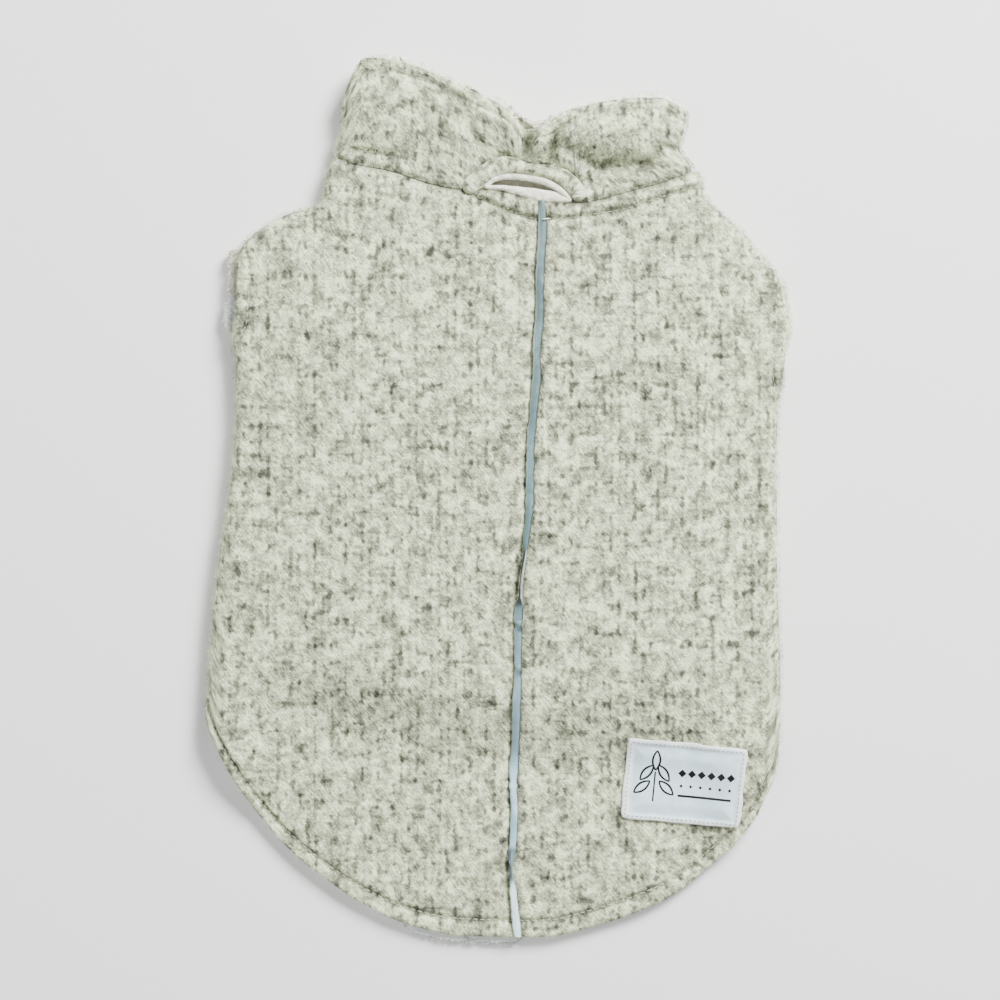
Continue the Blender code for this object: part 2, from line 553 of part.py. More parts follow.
def build():
    for obj in list(bpy.data.objects):
        bpy.data.objects.remove(obj)
    parts = bpy.data.collections.new(SCENE_NAME)
    bpy.context.scene.collection.children.link(parts)
    face = material("knit_fleece", (0.58, 0.60, 0.50), 0.95)
    pile = material("pile_lining", (0.82, 0.80, 0.70), 0.97)
    tape = material("reflective_tape", (0.34, 0.43, 0.42), 0.38, 0.35)
    satin = material("label_satin", (0.66, 0.77, 0.80), 0.45)

    left, right = back_half(LEFT, LEFT_HEM), back_half(RIGHT, RIGHT_HEM)
    middle = (left[:, :1] + right[:, :1]) / 2
    whole = np.concatenate([left[:, :0:-1], middle, right[:, 1:]], 1)
    halves = [cloth("back_left", left[:, ::-1], FACE_CLOTH, face, parts),
              cloth("back_right", right, FACE_CLOTH, face, parts)]
    deep = FACE_CLOTH + LINING_GAP
    hem_x = whole[-1, :, 0]
    shows = ramp((hem_x + 46.0) / 12.0) * ramp((12.0 - hem_x) / 8.0)
    whole = slide(slide(whole, -1.0 + 3.0 * shows, -1), -0.6 + 0 * hem_x, 0)
    cloth("back_lining", whole, LINING_CLOTH, pile, parts, depth=deep)

    belly = belly_points()[:, ::-1]
    cloth("belly_panel", belly, FACE_CLOTH, face, parts)
    cloth("belly_lining", belly, LINING_CLOTH, pile, parts, depth=deep)

    collar = collar_points()
    cloth("collar", collar, FACE_CLOTH, face, parts, closed=True)
    roll = 2.0 * np.exp(-(((collar[0, :, 0] - 68.0) / 6.0) ** 2))
    inside = slide(slide(collar, 1.4 + roll, 0), -0.5 + 0 * roll, -1)
    cloth("collar_lining", inside, LINING_CLOTH, pile, parts, closed=True, depth=deep)

    tube("slit_welt", WELT_LINE, SLIT_WELT, 11.9, face, parts)
    tube("slit_facing", FACING_LINE, SLIT_EDGE, 10.9, pile, parts, cyclic=True)

    half = by_x(PIPING_WIDTH[::-1], middle[:, 0, 1])
    across = np.stack([-half, np.zeros_like(half), half], 1)
    strip = np.stack([middle[:, :, 0] + across, middle[:, :, 1] + 0 * across], -1)
    strip = over(halves, strip, SEAM_GAP + 0.1)
    cloth("piping", strip[:, ::-1], PIPING_THICK, tape, parts)

    a, b = np.linspace(0, 1, 10)[None, :, None], np.linspace(0, 1, 7)[:, None, None]
    c = LABEL_CORNERS
    patch = (1 - b) * ((1 - a) * c[0] + a * c[1]) + b * ((1 - a) * c[3] + a * c[2])
    patch = over(halves, patch, SEAM_GAP + 0.4)
    cloth("label", patch[:, ::-1], LABEL_THICK, satin, parts)


build()
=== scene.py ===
import math

import bmesh
import bpy
import numpy as np
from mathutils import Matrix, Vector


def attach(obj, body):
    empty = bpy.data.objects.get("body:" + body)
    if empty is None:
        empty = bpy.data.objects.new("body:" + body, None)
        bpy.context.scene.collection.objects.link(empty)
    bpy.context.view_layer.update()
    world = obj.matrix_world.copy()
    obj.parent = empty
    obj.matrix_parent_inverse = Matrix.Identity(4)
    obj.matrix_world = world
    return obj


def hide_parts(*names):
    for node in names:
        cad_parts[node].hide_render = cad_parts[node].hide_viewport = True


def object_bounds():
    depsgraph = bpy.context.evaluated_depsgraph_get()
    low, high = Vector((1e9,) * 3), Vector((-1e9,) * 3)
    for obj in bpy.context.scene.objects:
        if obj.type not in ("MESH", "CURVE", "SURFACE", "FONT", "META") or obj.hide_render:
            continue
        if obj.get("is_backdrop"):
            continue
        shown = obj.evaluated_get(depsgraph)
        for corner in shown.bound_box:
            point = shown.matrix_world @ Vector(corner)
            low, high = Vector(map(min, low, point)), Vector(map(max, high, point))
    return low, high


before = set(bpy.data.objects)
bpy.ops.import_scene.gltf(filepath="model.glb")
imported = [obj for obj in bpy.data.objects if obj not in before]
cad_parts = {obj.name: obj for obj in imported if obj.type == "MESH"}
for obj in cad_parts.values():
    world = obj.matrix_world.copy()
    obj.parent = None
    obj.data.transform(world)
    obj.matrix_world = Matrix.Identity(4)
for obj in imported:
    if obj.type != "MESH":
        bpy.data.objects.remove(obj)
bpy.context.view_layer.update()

# ---------------------------------------------------------------------------
# The back. Two halves of brushed knit-faced fleece, 2 mm thick, sewn up the
# middle, wrapped round both side folds to side seams under the coat, with a
# 7 mm hem turned and topstitched. Lengths in the tables are millimetres.
# ---------------------------------------------------------------------------
MM = 0.001
KNIT_THICK = 2.0
SEAM_GAP = 0.3
LAY, CROWN, BILLOW = 12.0, 1.3, 30.0     # height of the doubled coat, its swell, over what
TAIL, TAIL_RUN = 5.2, 34.0               # height of the single back at the hem, over what
STITCH_WIDE, STITCH_TALL = 3.3, 3.7      # one knit loop
HEM_WIDTH, ARM_WIDTH = 6.8, 5.6          # topstitching to the hem's and armholes' edge
NECK_ROW = 8                             # row of the neck seam in the fold tables

# Side folds, collar top to hem: outermost point, half height, bulge past it, run of the
# wrap, reach of the belly panel past the bend where the side is open, and how far along
# the fold a row ends under the coat: up it on the back's rows, down it on the collar's.
LEFT_FOLD = np.array([
    # x       y      half bulge wrap  belly lift
    (-65.8, 187.0, 6.8, 0.4, 21.4, 0.0, 11.0),
    (-65.9, 181.0, 6.9, 0.5, 21.7, 0.0, 7.0),
    (-66.0, 175.0, 7.0, 0.6, 22.0, 0.0, 4.0),
    (-66.2, 169.0, 6.9, 0.4, 21.7, 0.0, 2.0),
    (-66.4, 163.5, 6.7, 0.0, 21.0, 0.0, 1.0),
    (-66.9, 158.5, 6.4, -0.7, 20.1, 0.0, 0.0),
    (-68.0, 154.0, 6.2, 0.5, 19.5, 0.0, 0.0),
    (-69.4, 149.8, 6.0, 0.3, 18.9, 0.0, 0.0),
    (-70.8, 145.4, 6.0, -0.3, 24.8, 0.0, 0.0),
    (-73.0, 140.0, 6.0, 0.2, 24.8, 0.0, 0.0),
    (-74.2, 134.0, 6.0, 0.3, 24.8, 0.0, 0.0),
    (-75.0, 128.6, 6.0, -0.3, 24.8, 0.0, 0.0),
    (-79.4, 124.6, 6.0, 0.0, 24.4, 0.0, 0.0),
    (-88.0, 122.2, 6.0, 0.0, 23.0, 0.0, 0.0),
    (-96.5, 118.6, 6.0, 0.0, 20.6, 0.0, 0.0),
    (-103.5, 114.0, 6.0, 0.0, 17.2, -1.6, 0.0),
    (-107.6, 110.2, 6.0, 0.0, 13.4, -1.2, 0.0),
    (-109.8, 106.6, 6.0, 0.0, 9.6, -0.9, 0.0),
    (-111.2, 102.4, 6.0, 0.0, 6.6, 4.8, 0.0),
    (-112.4, 96.5, 6.0, 0.0, 4.8, 8.8, 0.0),
    (-113.2, 87.0, 6.0, 0.0, 4.5, 9.8, 0.0),
    (-113.5, 78.0, 6.0, 0.0, 4.8, 9.5, 0.0),
    (-113.4, 72.0, 6.0, 0.0, 6.6, 6.2, 0.0),
    (-113.2, 67.5, 6.0, 0.0, 9.6, -0.5, 0.0),
    (-113.0, 63.5, 6.0, 0.0, 13.4, -1.2, 0.0),
    (-112.7, 59.5, 6.0, 0.0, 17.2, -1.6, 0.0),
    (-112.4, 55.0, 6.0, 0.0, 21.5, 0.0, 0.0),
    (-112.2, 49.5, 6.0, 0.0, 29.0, 0.0, 0.0),
    (-112.1, 43.0, 6.0, 0.0, 39.0, 0.0, 0.0),
    (-112.3, 35.0, 6.0, 0.0, 49.0, 0.0, 0.0),
    (-113.3, 22.0, 6.0, 0.0, 54.0, 0.0, 0.0),
    (-115.5, 0.0, 6.0, 0.0, 54.0, 0.0, 0.0),
    (-118.5, -19.0, 6.0, 0.0, 54.0, 0.0, 4.0),
    (-120.6, -36.0, 6.0, 0.0, 54.0, 0.0, 10.0),
    (-122.3, -53.0, 6.0, 0.0, 54.0, 0.0, 18.0),
    (-123.6, -70.0, 6.0, 0.0, 54.0, 0.0, 26.0),
    (-124.4, -84.0, 6.0, 0.0, 54.0, 0.0, 34.0),
    (-124.6, -97.0, 6.0, 0.0, 54.0, 0.0, 41.0),
    (-124.5, -108.6, 6.0, 0.0, 54.0, 0.0, 46.0),
])
RIGHT_FOLD = np.array([
    # x       y      half bulge wrap  belly lift
    (77.4, 170.9, 7.4, 0.5, 23.3, 0.0, 9.0),
    (77.8, 166.5, 7.8, 0.8, 24.5, 0.0, 6.0),
    (77.9, 161.5, 8.0, 1.0, 25.1, 0.0, 3.5),
    (77.6, 156.5, 7.8, 0.6, 24.5, 0.0, 1.5),
    (77.2, 152.5, 7.2, -0.4, 22.6, 0.0, 0.5),
    (77.4, 149.0, 6.6, -1.0, 20.7, 0.0, 0.0),
    (78.6, 146.0, 6.2, -0.4, 19.5, 0.0, 0.0),
    (80.4, 143.2, 6.0, 0.0, 18.9, 0.0, 0.0),
    (82.4, 140.4, 6.0, 0.1, 24.8, 0.0, 0.0),
    (85.0, 136.0, 6.0, 0.2, 24.8, 0.0, 0.0),
    (87.0, 131.0, 6.0, 0.2, 24.8, 0.0, 0.0),
    (89.8, 125.8, 6.0, -0.2, 24.8, 0.0, 0.0),
    (96.6, 119.8, 6.0, 0.0, 24.4, 0.0, 0.0),
    (105.0, 111.8, 6.0, 0.0, 23.0, 0.0, 0.0),
    (111.6, 103.6, 6.0, 0.0, 20.4, 0.0, 0.0),
    (115.4, 98.8, 6.0, 0.0, 17.0, -1.6, 0.0),
    (118.2, 95.0, 6.0, 0.0, 13.2, -1.2, 0.0),
    (120.2, 91.8, 6.0, 0.0, 9.6, -0.9, 0.0),
    (121.9, 88.2, 6.0, 0.0, 6.6, 3.6, 0.0),
    (123.4, 83.0, 6.0, 0.0, 4.8, 6.0, 0.0),
    (124.1, 75.5, 6.0, 0.0, 4.5, 6.2, 0.0),
    (123.6, 66.5, 6.0, 0.0, 4.5, 5.2, 0.0),
    (122.0, 57.5, 6.0, 0.0, 4.8, 3.0, 0.0),
    (120.4, 51.5, 6.0, 0.0, 6.6, 1.0, 0.0),
    (119.3, 47.0, 6.0, 0.0, 9.6, -0.9, 0.0),
    (118.6, 43.0, 6.0, 0.0, 13.4, -1.2, 0.0),
    (118.2, 39.0, 6.0, 0.0, 17.2, -1.6, 0.0),
    (118.0, 34.5, 6.0, 0.0, 21.5, 0.0, 0.0),
    (117.9, 29.0, 6.0, 0.0, 29.0, 0.0, 0.0),
    (117.8, 22.5, 6.0, 0.0, 39.0, 0.0, 0.0),
    (117.8, 14.0, 6.0, 0.0, 49.0, 0.0, 0.0),
    (117.7, 1.0, 6.0, 0.0, 54.0, 0.0, 0.0),
    (117.8, -18.0, 6.0, 0.0, 54.0, 0.0, 3.0),
    (118.0, -37.0, 6.0, 0.0, 54.0, 0.0, 9.0),
    (118.7, -56.0, 6.0, 0.0, 54.0, 0.0, 17.0),
    (119.3, -75.0, 6.0, 0.0, 54.0, 0.0, 26.0),
    (119.1, -94.0, 6.0, 0.0, 54.0, 0.0, 34.0),
    (118.1, -112.0, 6.0, 0.0, 54.0, 0.0, 42.0),
    (117.5, -128.0, 6.0, 0.0, 54.0, 0.0, 48.0),
])
CENTRE_SEAM = np.array([
    # x      y
    (17.6, 126.5), (18.4, 117.0), (17.3, 99.0), (16.3, 71.0), (14.8, 42.5),
    (12.8, 16.0), (12.1, -4.0), (10.2, -21.0), (8.2, -38.0), (7.7, -71.0),
    (6.9, -99.0), (5.8, -122.0), (5.9, -141.0), (4.8, -155.0), (6.0, -168.0), (8.0, -185.7),
])
NECK_SEAM = np.array([
    # x      y
    (-65.5, 142.6), (-58.2, 141.3), (-43.8, 138.4), (-36.1, 135.6), (-24.2, 132.4),
    (-13.5, 131.2), (-2.5, 131.6), (4.3, 130.0), (11.0, 128.2), (17.6, 126.5),
    (25.5, 125.6), (33.0, 125.4), (43.8, 127.3), (55.3, 130.6), (66.0, 133.4), (77.2, 137.3),
])
LEFT_HEM = np.array([
    # x      y
    (8.0, -185.7), (-6.8, -185.3), (-19.6, -184.6), (-40.0, -180.0), (-61.6, -169.6),
    (-78.2, -158.1), (-90.1, -148.0), (-98.5, -139.0), (-107.1, -127.5), (-114.0, -117.0),
    (-118.5, -108.6),
])
RIGHT_HEM = np.array([
    # x      y
    (8.0, -185.7), (21.3, -185.5), (34.0, -182.8), (51.0, -177.7), (68.0, -170.9),
    (80.0, -163.2), (91.4, -153.8), (98.2, -147.9), (104.5, -140.3), (108.5, -134.3),
    (111.5, -128.0),
])
# How far down the doubled coat reaches.
DOUBLED = np.array([
    # x      y
    (-125.0, -86.0), (-118.0, -84.0), (-84.0, -68.0), (0.0, -80.0), (76.0, -86.0),
    (112.0, -101.0), (125.0, -104.0),
])
# Folds of the back, each a line with its half width and rise.
BACK_FOLDS = np.array([
    # x0     y0     x1     y1    half  rise
    (103.0, 73.0, 116.0, 40.0, 6.0, -1.3),
    (-64.0, 84.0, -58.0, -70.0, 26.0, 0.8),
    (70.0, 60.0, 66.0, -60.0, 24.0, 0.7),
    (-30.0, 112.0, -8.0, 66.0, 14.0, -0.6),
    (52.0, 108.0, 84.0, 92.0, 9.0, -0.7),
])
# Stitched line below the neck seam: it is the seam's own line at the left, and leaves
# a padded band 6 mm wide between them at the right.
BAND_LINE = np.array([
    # x      y
    (-15.3, 130.2), (-7.0, 127.0), (0.3, 123.8), (5.5, 121.8), (12.0, 119.6), (16.4, 119.0),
    (29.6, 119.4), (41.7, 121.2), (51.0, 122.8), (61.8, 126.0), (74.4, 130.1), (86.0, 133.6),
])
FINE_FOLDS = np.array([
    # x0     y0     x1     y1    half  rise
    (31.9, 113.0, 38.4, 101.0, 2.6, -1.1),     # wedge crease right of the piping
    (36.0, 113.0, 43.0, 102.0, 3.0, 0.5),
    (102.5, 73.0, 109.0, 58.0, 3.2, -0.9),     # crease from the right armhole
    (109.0, 58.0, 117.0, 39.0, 3.6, -1.1),
    (98.0, 66.0, 112.0, 36.0, 5.0, 0.6),
    (-74.0, 121.0, -60.0, 108.0, 5.0, -0.8),   # pull from the left neck corner
    (-66.0, 122.0, -46.0, 112.0, 6.0, 0.5),
    (-75.0, 126.2, -68.0, 124.8, 1.5, -1.3),   # fold at the foot of the collar, left
    (-68.0, 124.8, -59.0, 124.5, 1.5, -0.9),
    (-72.0, 122.0, -56.0, 120.5, 3.0, 0.6),
    (88.0, 122.0, 70.0, 110.0, 5.0, -0.7),     # and from the right one
    (-104.0, 60.0, -86.0, 52.0, 4.5, -0.6),    # under the left armhole
    (-106.0, 48.0, -80.0, 34.0, 6.0, -0.5),
    (3.0, -24.0, 20.0, -19.0, 3.0, -0.6),      # puckers where the piping twists
    (-8.0, -30.0, 6.0, -26.0, 3.4, 0.5),
    (-4.0, -158.0, 5.0, -153.0, 3.0, -0.6),
    (5.0, -150.0, 14.0, -147.0, 3.0, 0.4),
    (-108.0, -40.0, -84.0, -52.0, 8.0, -0.5),
    (-96.0, -92.0, -60.0, -128.0, 9.0, 0.7),   # where the tail bends to the surface
    (-70.0, -78.0, -30.0, -92.0, 10.0, -0.6),
    (30.0, -92.0, 70.0, -84.0, 9.0, -0.6),
    (84.0, -60.0, 108.0, -88.0, 8.0, 0.6),
    (-40.0, 24.0, -12.0, 8.0, 12.0, -0.5),
    (30.0, 30.0, 62.0, 14.0, 11.0, -0.5),
])


def ramp(t):
    """Smooth step: 3t^2 - 2t^3 with t held between 0 and 1."""
    t = np.clip(t, 0.0, 1.0)
    return t * t * (3.0 - 2.0 * t)


def along(rows):
    """Share of a line's length at each of its rows."""
    run = np.r_[0.0, np.cumsum(np.hypot(*np.diff(rows[:, :2], axis=0).T))]
    return run / run[-1]


def through(stations, rows, at):
    """Hermite cubic through the rows; a slope is the harmonic mean of its two
    neighbours' rates, and nothing where those differ in sign, so it never overshoots."""
    rows = rows.reshape(len(rows), -1)
    at = np.clip(np.asarray(at, float), stations[0], stations[-1])
    gap = np.diff(stations)
    rate = np.diff(rows, axis=0) / gap[:, None]
    tangent = np.zeros_like(rows)
    same = rate[:-1] * rate[1:] > 0
    mean = 2.0 * rate[:-1] * rate[1:] / np.where(same, rate[:-1] + rate[1:], 1.0)
    tangent[1:-1] = np.where(same, mean, 0.0)
    tangent[0], tangent[-1] = rate[0], rate[-1]
    k = np.clip(np.searchsorted(stations, at) - 1, 0, len(gap) - 1)
    t = ((at - stations[k]) / gap[k])[..., None]
    step = gap[k][..., None]
    return ((1 + 2 * t) * (1 - t) ** 2 * rows[k] + t * (1 - t) ** 2 * step * tangent[k]
            + t * t * (3 - 2 * t) * rows[k + 1] - t * t * (1 - t) * step * tangent[k + 1])


def line(rows, at):
    """Points at shares of a line's length."""
    return through(along(rows), rows, at)


def by_x(rows, x):
    """Second column of a table read at x."""
    return through(rows[:, 0], rows[:, 1], x)[..., 0]


def unit(vectors):
    """Each vector divided by its length."""
    return vectors / np.maximum(np.linalg.norm(vectors, axis=-1, keepdims=True), 1e-9)


def raised(flat, height):
    """Points from their places in plan and their heights."""
    return np.concatenate([flat, height[..., None]], -1)


class SideFold:
    """A side fold of the coat, and the cloth that runs round it."""

    def __init__(self, rows, side):
        self.rows, self.side = rows, side
        self.at = along(rows)
        self.length = np.hypot(*np.diff(rows[:, :2], axis=0).T).sum()
        self.dense = line(rows, np.linspace(0, 1, 180))[:, :2]

    def frame(self, s):
        """Outermost point, outward direction, half height and bulge at share s."""
        rows = through(self.at, self.rows, s)
        reach = 5.0 / self.length
        ahead = through(self.at, self.rows, np.clip(s + reach, 0, 1))[..., :2]
        behind = through(self.at, self.rows, np.clip(s - reach, 0, 1))[..., :2]
        run = unit(ahead - behind)
        out = np.stack([run[..., 1], -run[..., 0]], -1) * -self.side
        return rows[..., :2], out, rows[..., 2], rows[..., 3]

    def bend(self, s):
        """Where the flat top starts to bend: a half height in from the outermost point."""
        edge, out, half, _ = self.frame(s)
        return edge - out * half[..., None]

    def point(self, s, run, top):
        """A half turn of radius half, widened by bulge, then flat under the coat; top
        is the height on the bend line, and fades out over the first quarter turn."""
        edge, out, half, bulge = self.frame(s)
        start = edge - out * half[..., None]
        turn = np.clip(run / half, 0.0, math.pi)
        under = np.maximum(run - math.pi * half, 0.0)
        reach = (half + bulge) * np.sin(turn) - under
        flat = start + out * reach[..., None]
        settle = (top - 2 * half) * np.clip(1 - turn / (math.pi / 2), 0, 1) ** 2
        return raised(flat, half + half * np.cos(turn) + settle)


LEFT, RIGHT = SideFold(LEFT_FOLD, -1), SideFold(RIGHT_FOLD, 1)


def fold_distance(flat):
    """Distance in plan from the nearer side fold, a block of rows at a time."""
    edge = np.concatenate([LEFT.dense, RIGHT.dense])
    blocks = np.array_split(flat, max(1, len(flat) // 16))
    return np.concatenate([np.linalg.norm(b[..., None, :] - edge, axis=-1).min(-1)
                           for b in blocks])


def creases(flat, table):
    """Sum of soft troughs and ridges: rise * exp(-(distance from the line / half)^2)."""
    rise = np.zeros(flat.shape[:-1])
    for x0, y0, x1, y1, half, lift in table:
        start, run = np.array((x0, y0)), np.array((x1 - x0, y1 - y0))
        share = np.clip(((flat - start) @ run) / (run @ run), 0, 1)
        off = np.linalg.norm(flat - start - share[..., None] * run, axis=-1)
        rise += lift * np.exp(-((off / half) ** 2))
    return rise


def mottle(x, y, size, seed):
    """Soft random field from -1 to 1: seeded values on a square lattice of that
    size in mm, joined by smooth steps."""
    table = np.random.default_rng(seed).uniform(-1, 1, (256, 256))
    gx, gy = x / size, y / size
    ix, iy = np.floor(gx).astype(int), np.floor(gy).astype(int)
    fx, fy = ramp(gx - ix), ramp(gy - iy)
    a, b = table[ix % 256, iy % 256], table[(ix + 1) % 256, iy % 256]
    c, d = table[ix % 256, (iy + 1) % 256], table[(ix + 1) % 256, (iy + 1) % 256]
    return (a * (1 - fx) + b * fx) * (1 - fy) + (c * (1 - fx) + d * fx) * fy


def back_height(flat):
    """Face of the back: LAY high and a crown higher inside, with its folds, sinking
    to TAIL below the belly panel."""
    inside = fold_distance(flat) - LAY / 2
    soft = 0.45 * mottle(flat[..., 0], flat[..., 1], 34.0, 3)
    soft += 0.22 * mottle(flat[..., 0], flat[..., 1], 14.0, 4)
    folds = creases(flat, BACK_FOLDS) + creases(flat, FINE_FOLDS) + soft
    full = LAY + (CROWN + folds) * ramp(inside / BILLOW)
    sink = ramp((by_x(DOUBLED, flat[..., 0]) - flat[..., 1]) / TAIL_RUN)
    sink = sink * (0.25 + 0.75 * ramp(inside / 32.0))
    low = TAIL + 0.6 * folds * ramp(inside / 12.0)
    return full * (1 - sink) + low * sink


def normals(points, ring=False):
    """Unit normals of a grid: the cross product of its two directions; in a ring the
    last column is followed by the first."""
    if ring:
        points = np.concatenate([points[:, -2:], points, points[:, :2]], 1)
    found = unit(np.cross(np.gradient(points, axis=0), np.gradient(points, axis=1)))
    return found[:, 2:-2] if ring else found


def lengths(points, axis):
    """Distance along the grid lines from the first row or column."""
    step = np.linalg.norm(np.diff(points, axis=axis), axis=-1)
    pad = [(1, 0) if a == axis else (0, 0) for a in range(2)]
    return np.cumsum(np.pad(step, pad), axis=axis)


def knit_relief(across, down):
    """Brushed stocking stitch: columns of loops, each a V whose two legs lean
    towards the middle, softened and pressed unevenly by the brushing."""
    column = across / STITCH_WIDE + 0.10 * mottle(across, down, 22.0, 11)
    side = 2 * np.abs(column - np.round(column))
    loop = down / STITCH_TALL + 0.5 * side + 0.18 * mottle(across, down, 9.0, 12)
    form = (1 - side ** 2) * (0.62 + 0.38 * np.cos(2 * math.pi * loop))
    pressing_and_painted_shade = 0.62 + 0.38 * mottle(across, down, 13.0, 13)
    fluff = 0.10 * mottle(across, down, 2.1, 14) + 0.12 * mottle(across, down, 5.0, 15)
    return 0.30 * (form - 0.5) * pressing_and_painted_shade + fluff


def fold_shares(fold, v):
    """Shares of a fold's length at shares v of the coat's, from the neck seam to the
    hem, so that its rows are level with those of the other side."""
    mean = sum(along(each.bend(each.at[NECK_ROW:])) for each in (LEFT, RIGHT)) / 2
    return np.interp(v, mean, fold.at[NECK_ROW:])


def stretched(first, last, top, low, u, v):
    """A face stretched between four lines: first to last at shares u across it, plus top
    to low at shares v down it, less the same between the four corners. The lines top
    and low start on first and end on last."""
    top[0], top[-1], low[0], low[-1] = first[0], last[0], first[-1], last[-1]
    u, v = u[None, :, None], v[:, None, None]
    corners = ((1 - v) * ((1 - u) * top[0] + u * top[-1])
               + v * ((1 - u) * low[0] + u * low[-1]))
    return ((1 - u) * first[:, None] + u * last[:, None]
            + (1 - v) * top[None] + v * low[None] - corners)


def back_grid(fold, hem, rows, top, turn, under):
    """One half of the back as a grid: rows from the neck seam to the hem, columns
    from the middle seam out, round the fold and under. Gives the points, the same
    cloth unrolled flat, and for each row how free its edge is, 1 at the armhole."""
    v = np.linspace(0, 1, rows)
    s = fold_shares(fold, v)
    bend = fold.bend(s)
    centre = line(CENTRE_SEAM, v) + np.array((fold.side * SEAM_GAP / 2, 0.0))
    u = np.linspace(0, 1, top)
    neck_x = centre[0, 0] + (bend[0, 0] - centre[0, 0]) * u
    neck = np.stack([neck_x, by_x(NECK_SEAM, neck_x)], -1)
    flat = stretched(centre, bend, neck, line(hem, u), u, v)
    face = raised(flat, back_height(flat))
    table = through(fold.at, fold.rows, s)
    half, wrap, lift = table[:, 2:3], table[:, 4:5], table[:, 6:7]
    arc = math.pi * half
    k = np.arange(1, turn + under + 1)[None]
    round_fold = ramp((wrap - 8.0) / 16.0)
    bent = np.minimum(k, turn) / turn * np.minimum(arc, wrap)
    beyond = np.maximum(k - turn, 0) / under * np.maximum(wrap - arc, 0)
    run = round_fold * (bent + beyond) + (1 - round_fold) * wrap * k / (turn + under)
    climb = lift * (1 - np.clip(1 - run / wrap, 0, 1) ** 2.5)
    out = fold.frame(s)[1]
    wrapped = fold.point(s[:, None] - climb / fold.length, run, face[:, -1:, 2])
    points = np.concatenate([face, wrapped], 1)
    grain = np.concatenate([flat, bend[:, None] + out[:, None] * run[..., None]], 1)
    return points, grain, 1 - round_fold


def dressed(points, relief, ring=False):
    """Each point of the grid moved along its normal."""
    return points + normals(points, ring) * relief[..., None]


def bell(distance, at, half):
    """1 at a distance, falling off as exp(-((distance - at) / half)^2)."""
    return np.exp(-(((distance - at) / half) ** 2))


def from_line(flat, table, reach):
    """Distance in plan from a line, up to reach."""
    spots = line(table, np.linspace(0, 1, 220))
    away = np.full(flat.shape[:-1], reach)
    close = np.abs(flat[..., 1] - np.interp(flat[..., 0], table[:, 0], table[:, 1])) < reach
    away[close] = np.linalg.norm(flat[close][:, None] - spots, axis=-1).min(-1)
    return np.minimum(away, reach)


def back_relief(points, grain, open_edge):
    """Stitches of the knit; grooves of the hem, neck band and armholes; puckers along
    the hem; the valley of the middle seam. Also the painted shade for the knit's colour in
    those grooves and creases, with painted light on the hem band, and the distances from
    the hem and from the side edge."""
    x, y = grain[..., 0], grain[..., 1]
    from_neck = lengths(points, 0)
    from_hem = from_neck[-1:] - from_neck
    from_middle = lengths(points, 1)
    from_edge = from_middle[:, -1:] - from_middle
    slant = mottle(x + 0.6 * y, y * 0.05, 4.2, 21) + 0.6 * mottle(x + 0.6 * y, y * 0.05, 2.3, 22)
    uneven = 0.7 + 0.3 * mottle(x, y, 7.0, 23)
    hem = bell(from_hem, HEM_WIDTH, 1.2) * (0.75 + 0.35 * uneven)
    in_hem = ramp((HEM_WIDTH + 2.5 - from_hem) / 3.0)
    band = ramp((x + 16.0) / 10.0)
    below = by_x(BAND_LINE, x) - y
    under = bell(from_line(grain, BAND_LINE, 12.0), 0.0, 0.85) * (0.8 + 0.2 * uneven)
    seam = bell(from_neck, 0.0, 1.5)
    arm = open_edge * ramp((14.0 - from_edge) / 3.0) * bell(from_edge, ARM_WIDTH, 1.0) * uneven
    middle = bell(from_middle, 0.0, 1.9)
    relief = knit_relief(x, y) - 1.5 * hem - 1.5 * under - 1.3 * seam - 1.0 * arm - 0.9 * middle
    relief += in_hem * (0.45 + 0.32 * slant) * ramp(from_hem / 2.0 + 0.2)
    relief += band * 1.1 * ramp(from_neck / 1.8) * ramp((0.4 - below) / 2.6)
    relief += open_edge * 0.3 * ramp((5.0 - from_edge) / 2.0) + 0.6 * bell(from_middle, 4.6, 2.6)
    # Painted shade in the hem, neck and armhole grooves, the neck seam and the middle seam; a
    # band of painted shade just inside the hem's groove and painted light on the hem band;
    # painted shade in the creases and along the hem's edge; and a painted shadow in the seam's
    # valley where the piping stands on edge.
    pressing_and_painted_shade = 1.25 * hem + 1.0 * under + 0.9 * seam + 0.8 * arm + 0.5 * middle
    pressing_and_painted_shade += 0.16 * bell(from_hem, HEM_WIDTH + 2.6, 3.0) - 0.14 * in_hem
    pressing_and_painted_shade += 0.35 * np.clip(-creases(grain, FINE_FOLDS), 0, 2) + 0.25 * bell(from_hem, 0.0, 1.4)
    pressing_and_painted_shade += 1.7 * bell(from_middle, 0.9, 1.0) * bell(y, -32.0, 8.0)
    return relief, pressing_and_painted_shade, from_hem, from_edge


def border(rows, columns, number):
    """Vertex numbers round a grid's edge, and their place: side plus share of it."""
    i, j = np.arange(rows - 1), np.arange(columns - 1)
    edge = [number[0, j], number[i, -1], number[-1, j[::-1] + 1], number[i[::-1] + 1, 0]]
    place = [j / (columns - 1), 1 + i / (rows - 1), 2 + j / (columns - 1), 3 + i / (rows - 1)]
    return np.concatenate(edge).astype(int), np.concatenate(place)


def between(fine, place, coarse, at):
    """Faces from a closed ring of vertices to a coarser one, each fine vertex to the
    coarse one whose place on the ring is nearest."""
    near = np.searchsorted((at[1:] + at[:-1]) / 2, place)
    a, b = fine, np.roll(fine, -1)
    c, d = coarse[near], coarse[np.roll(near, -1)]
    return [[i, j, k] if k == l else [i, j, l, k]
            for i, j, k, l in zip(a.tolist(), b.tolist(), c.tolist(), d.tolist())]


def cells(number, ring):
    """Four-sided faces of a grid of vertex numbers; ring joins its sides."""
    if ring:
        number = np.concatenate([number, number[:, :1]], 1)
    corners = number[:-1, :-1], number[1:, :-1], number[1:, 1:], number[:-1, 1:]
    return np.stack(corners, -1).reshape(-1, 4).tolist()


def sewn_in(piece, slot, *nodes):
    """The piece is part of the coat's one body, and stands for those CAD nodes."""
    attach(piece, "root")
    if nodes:
        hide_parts(*nodes)


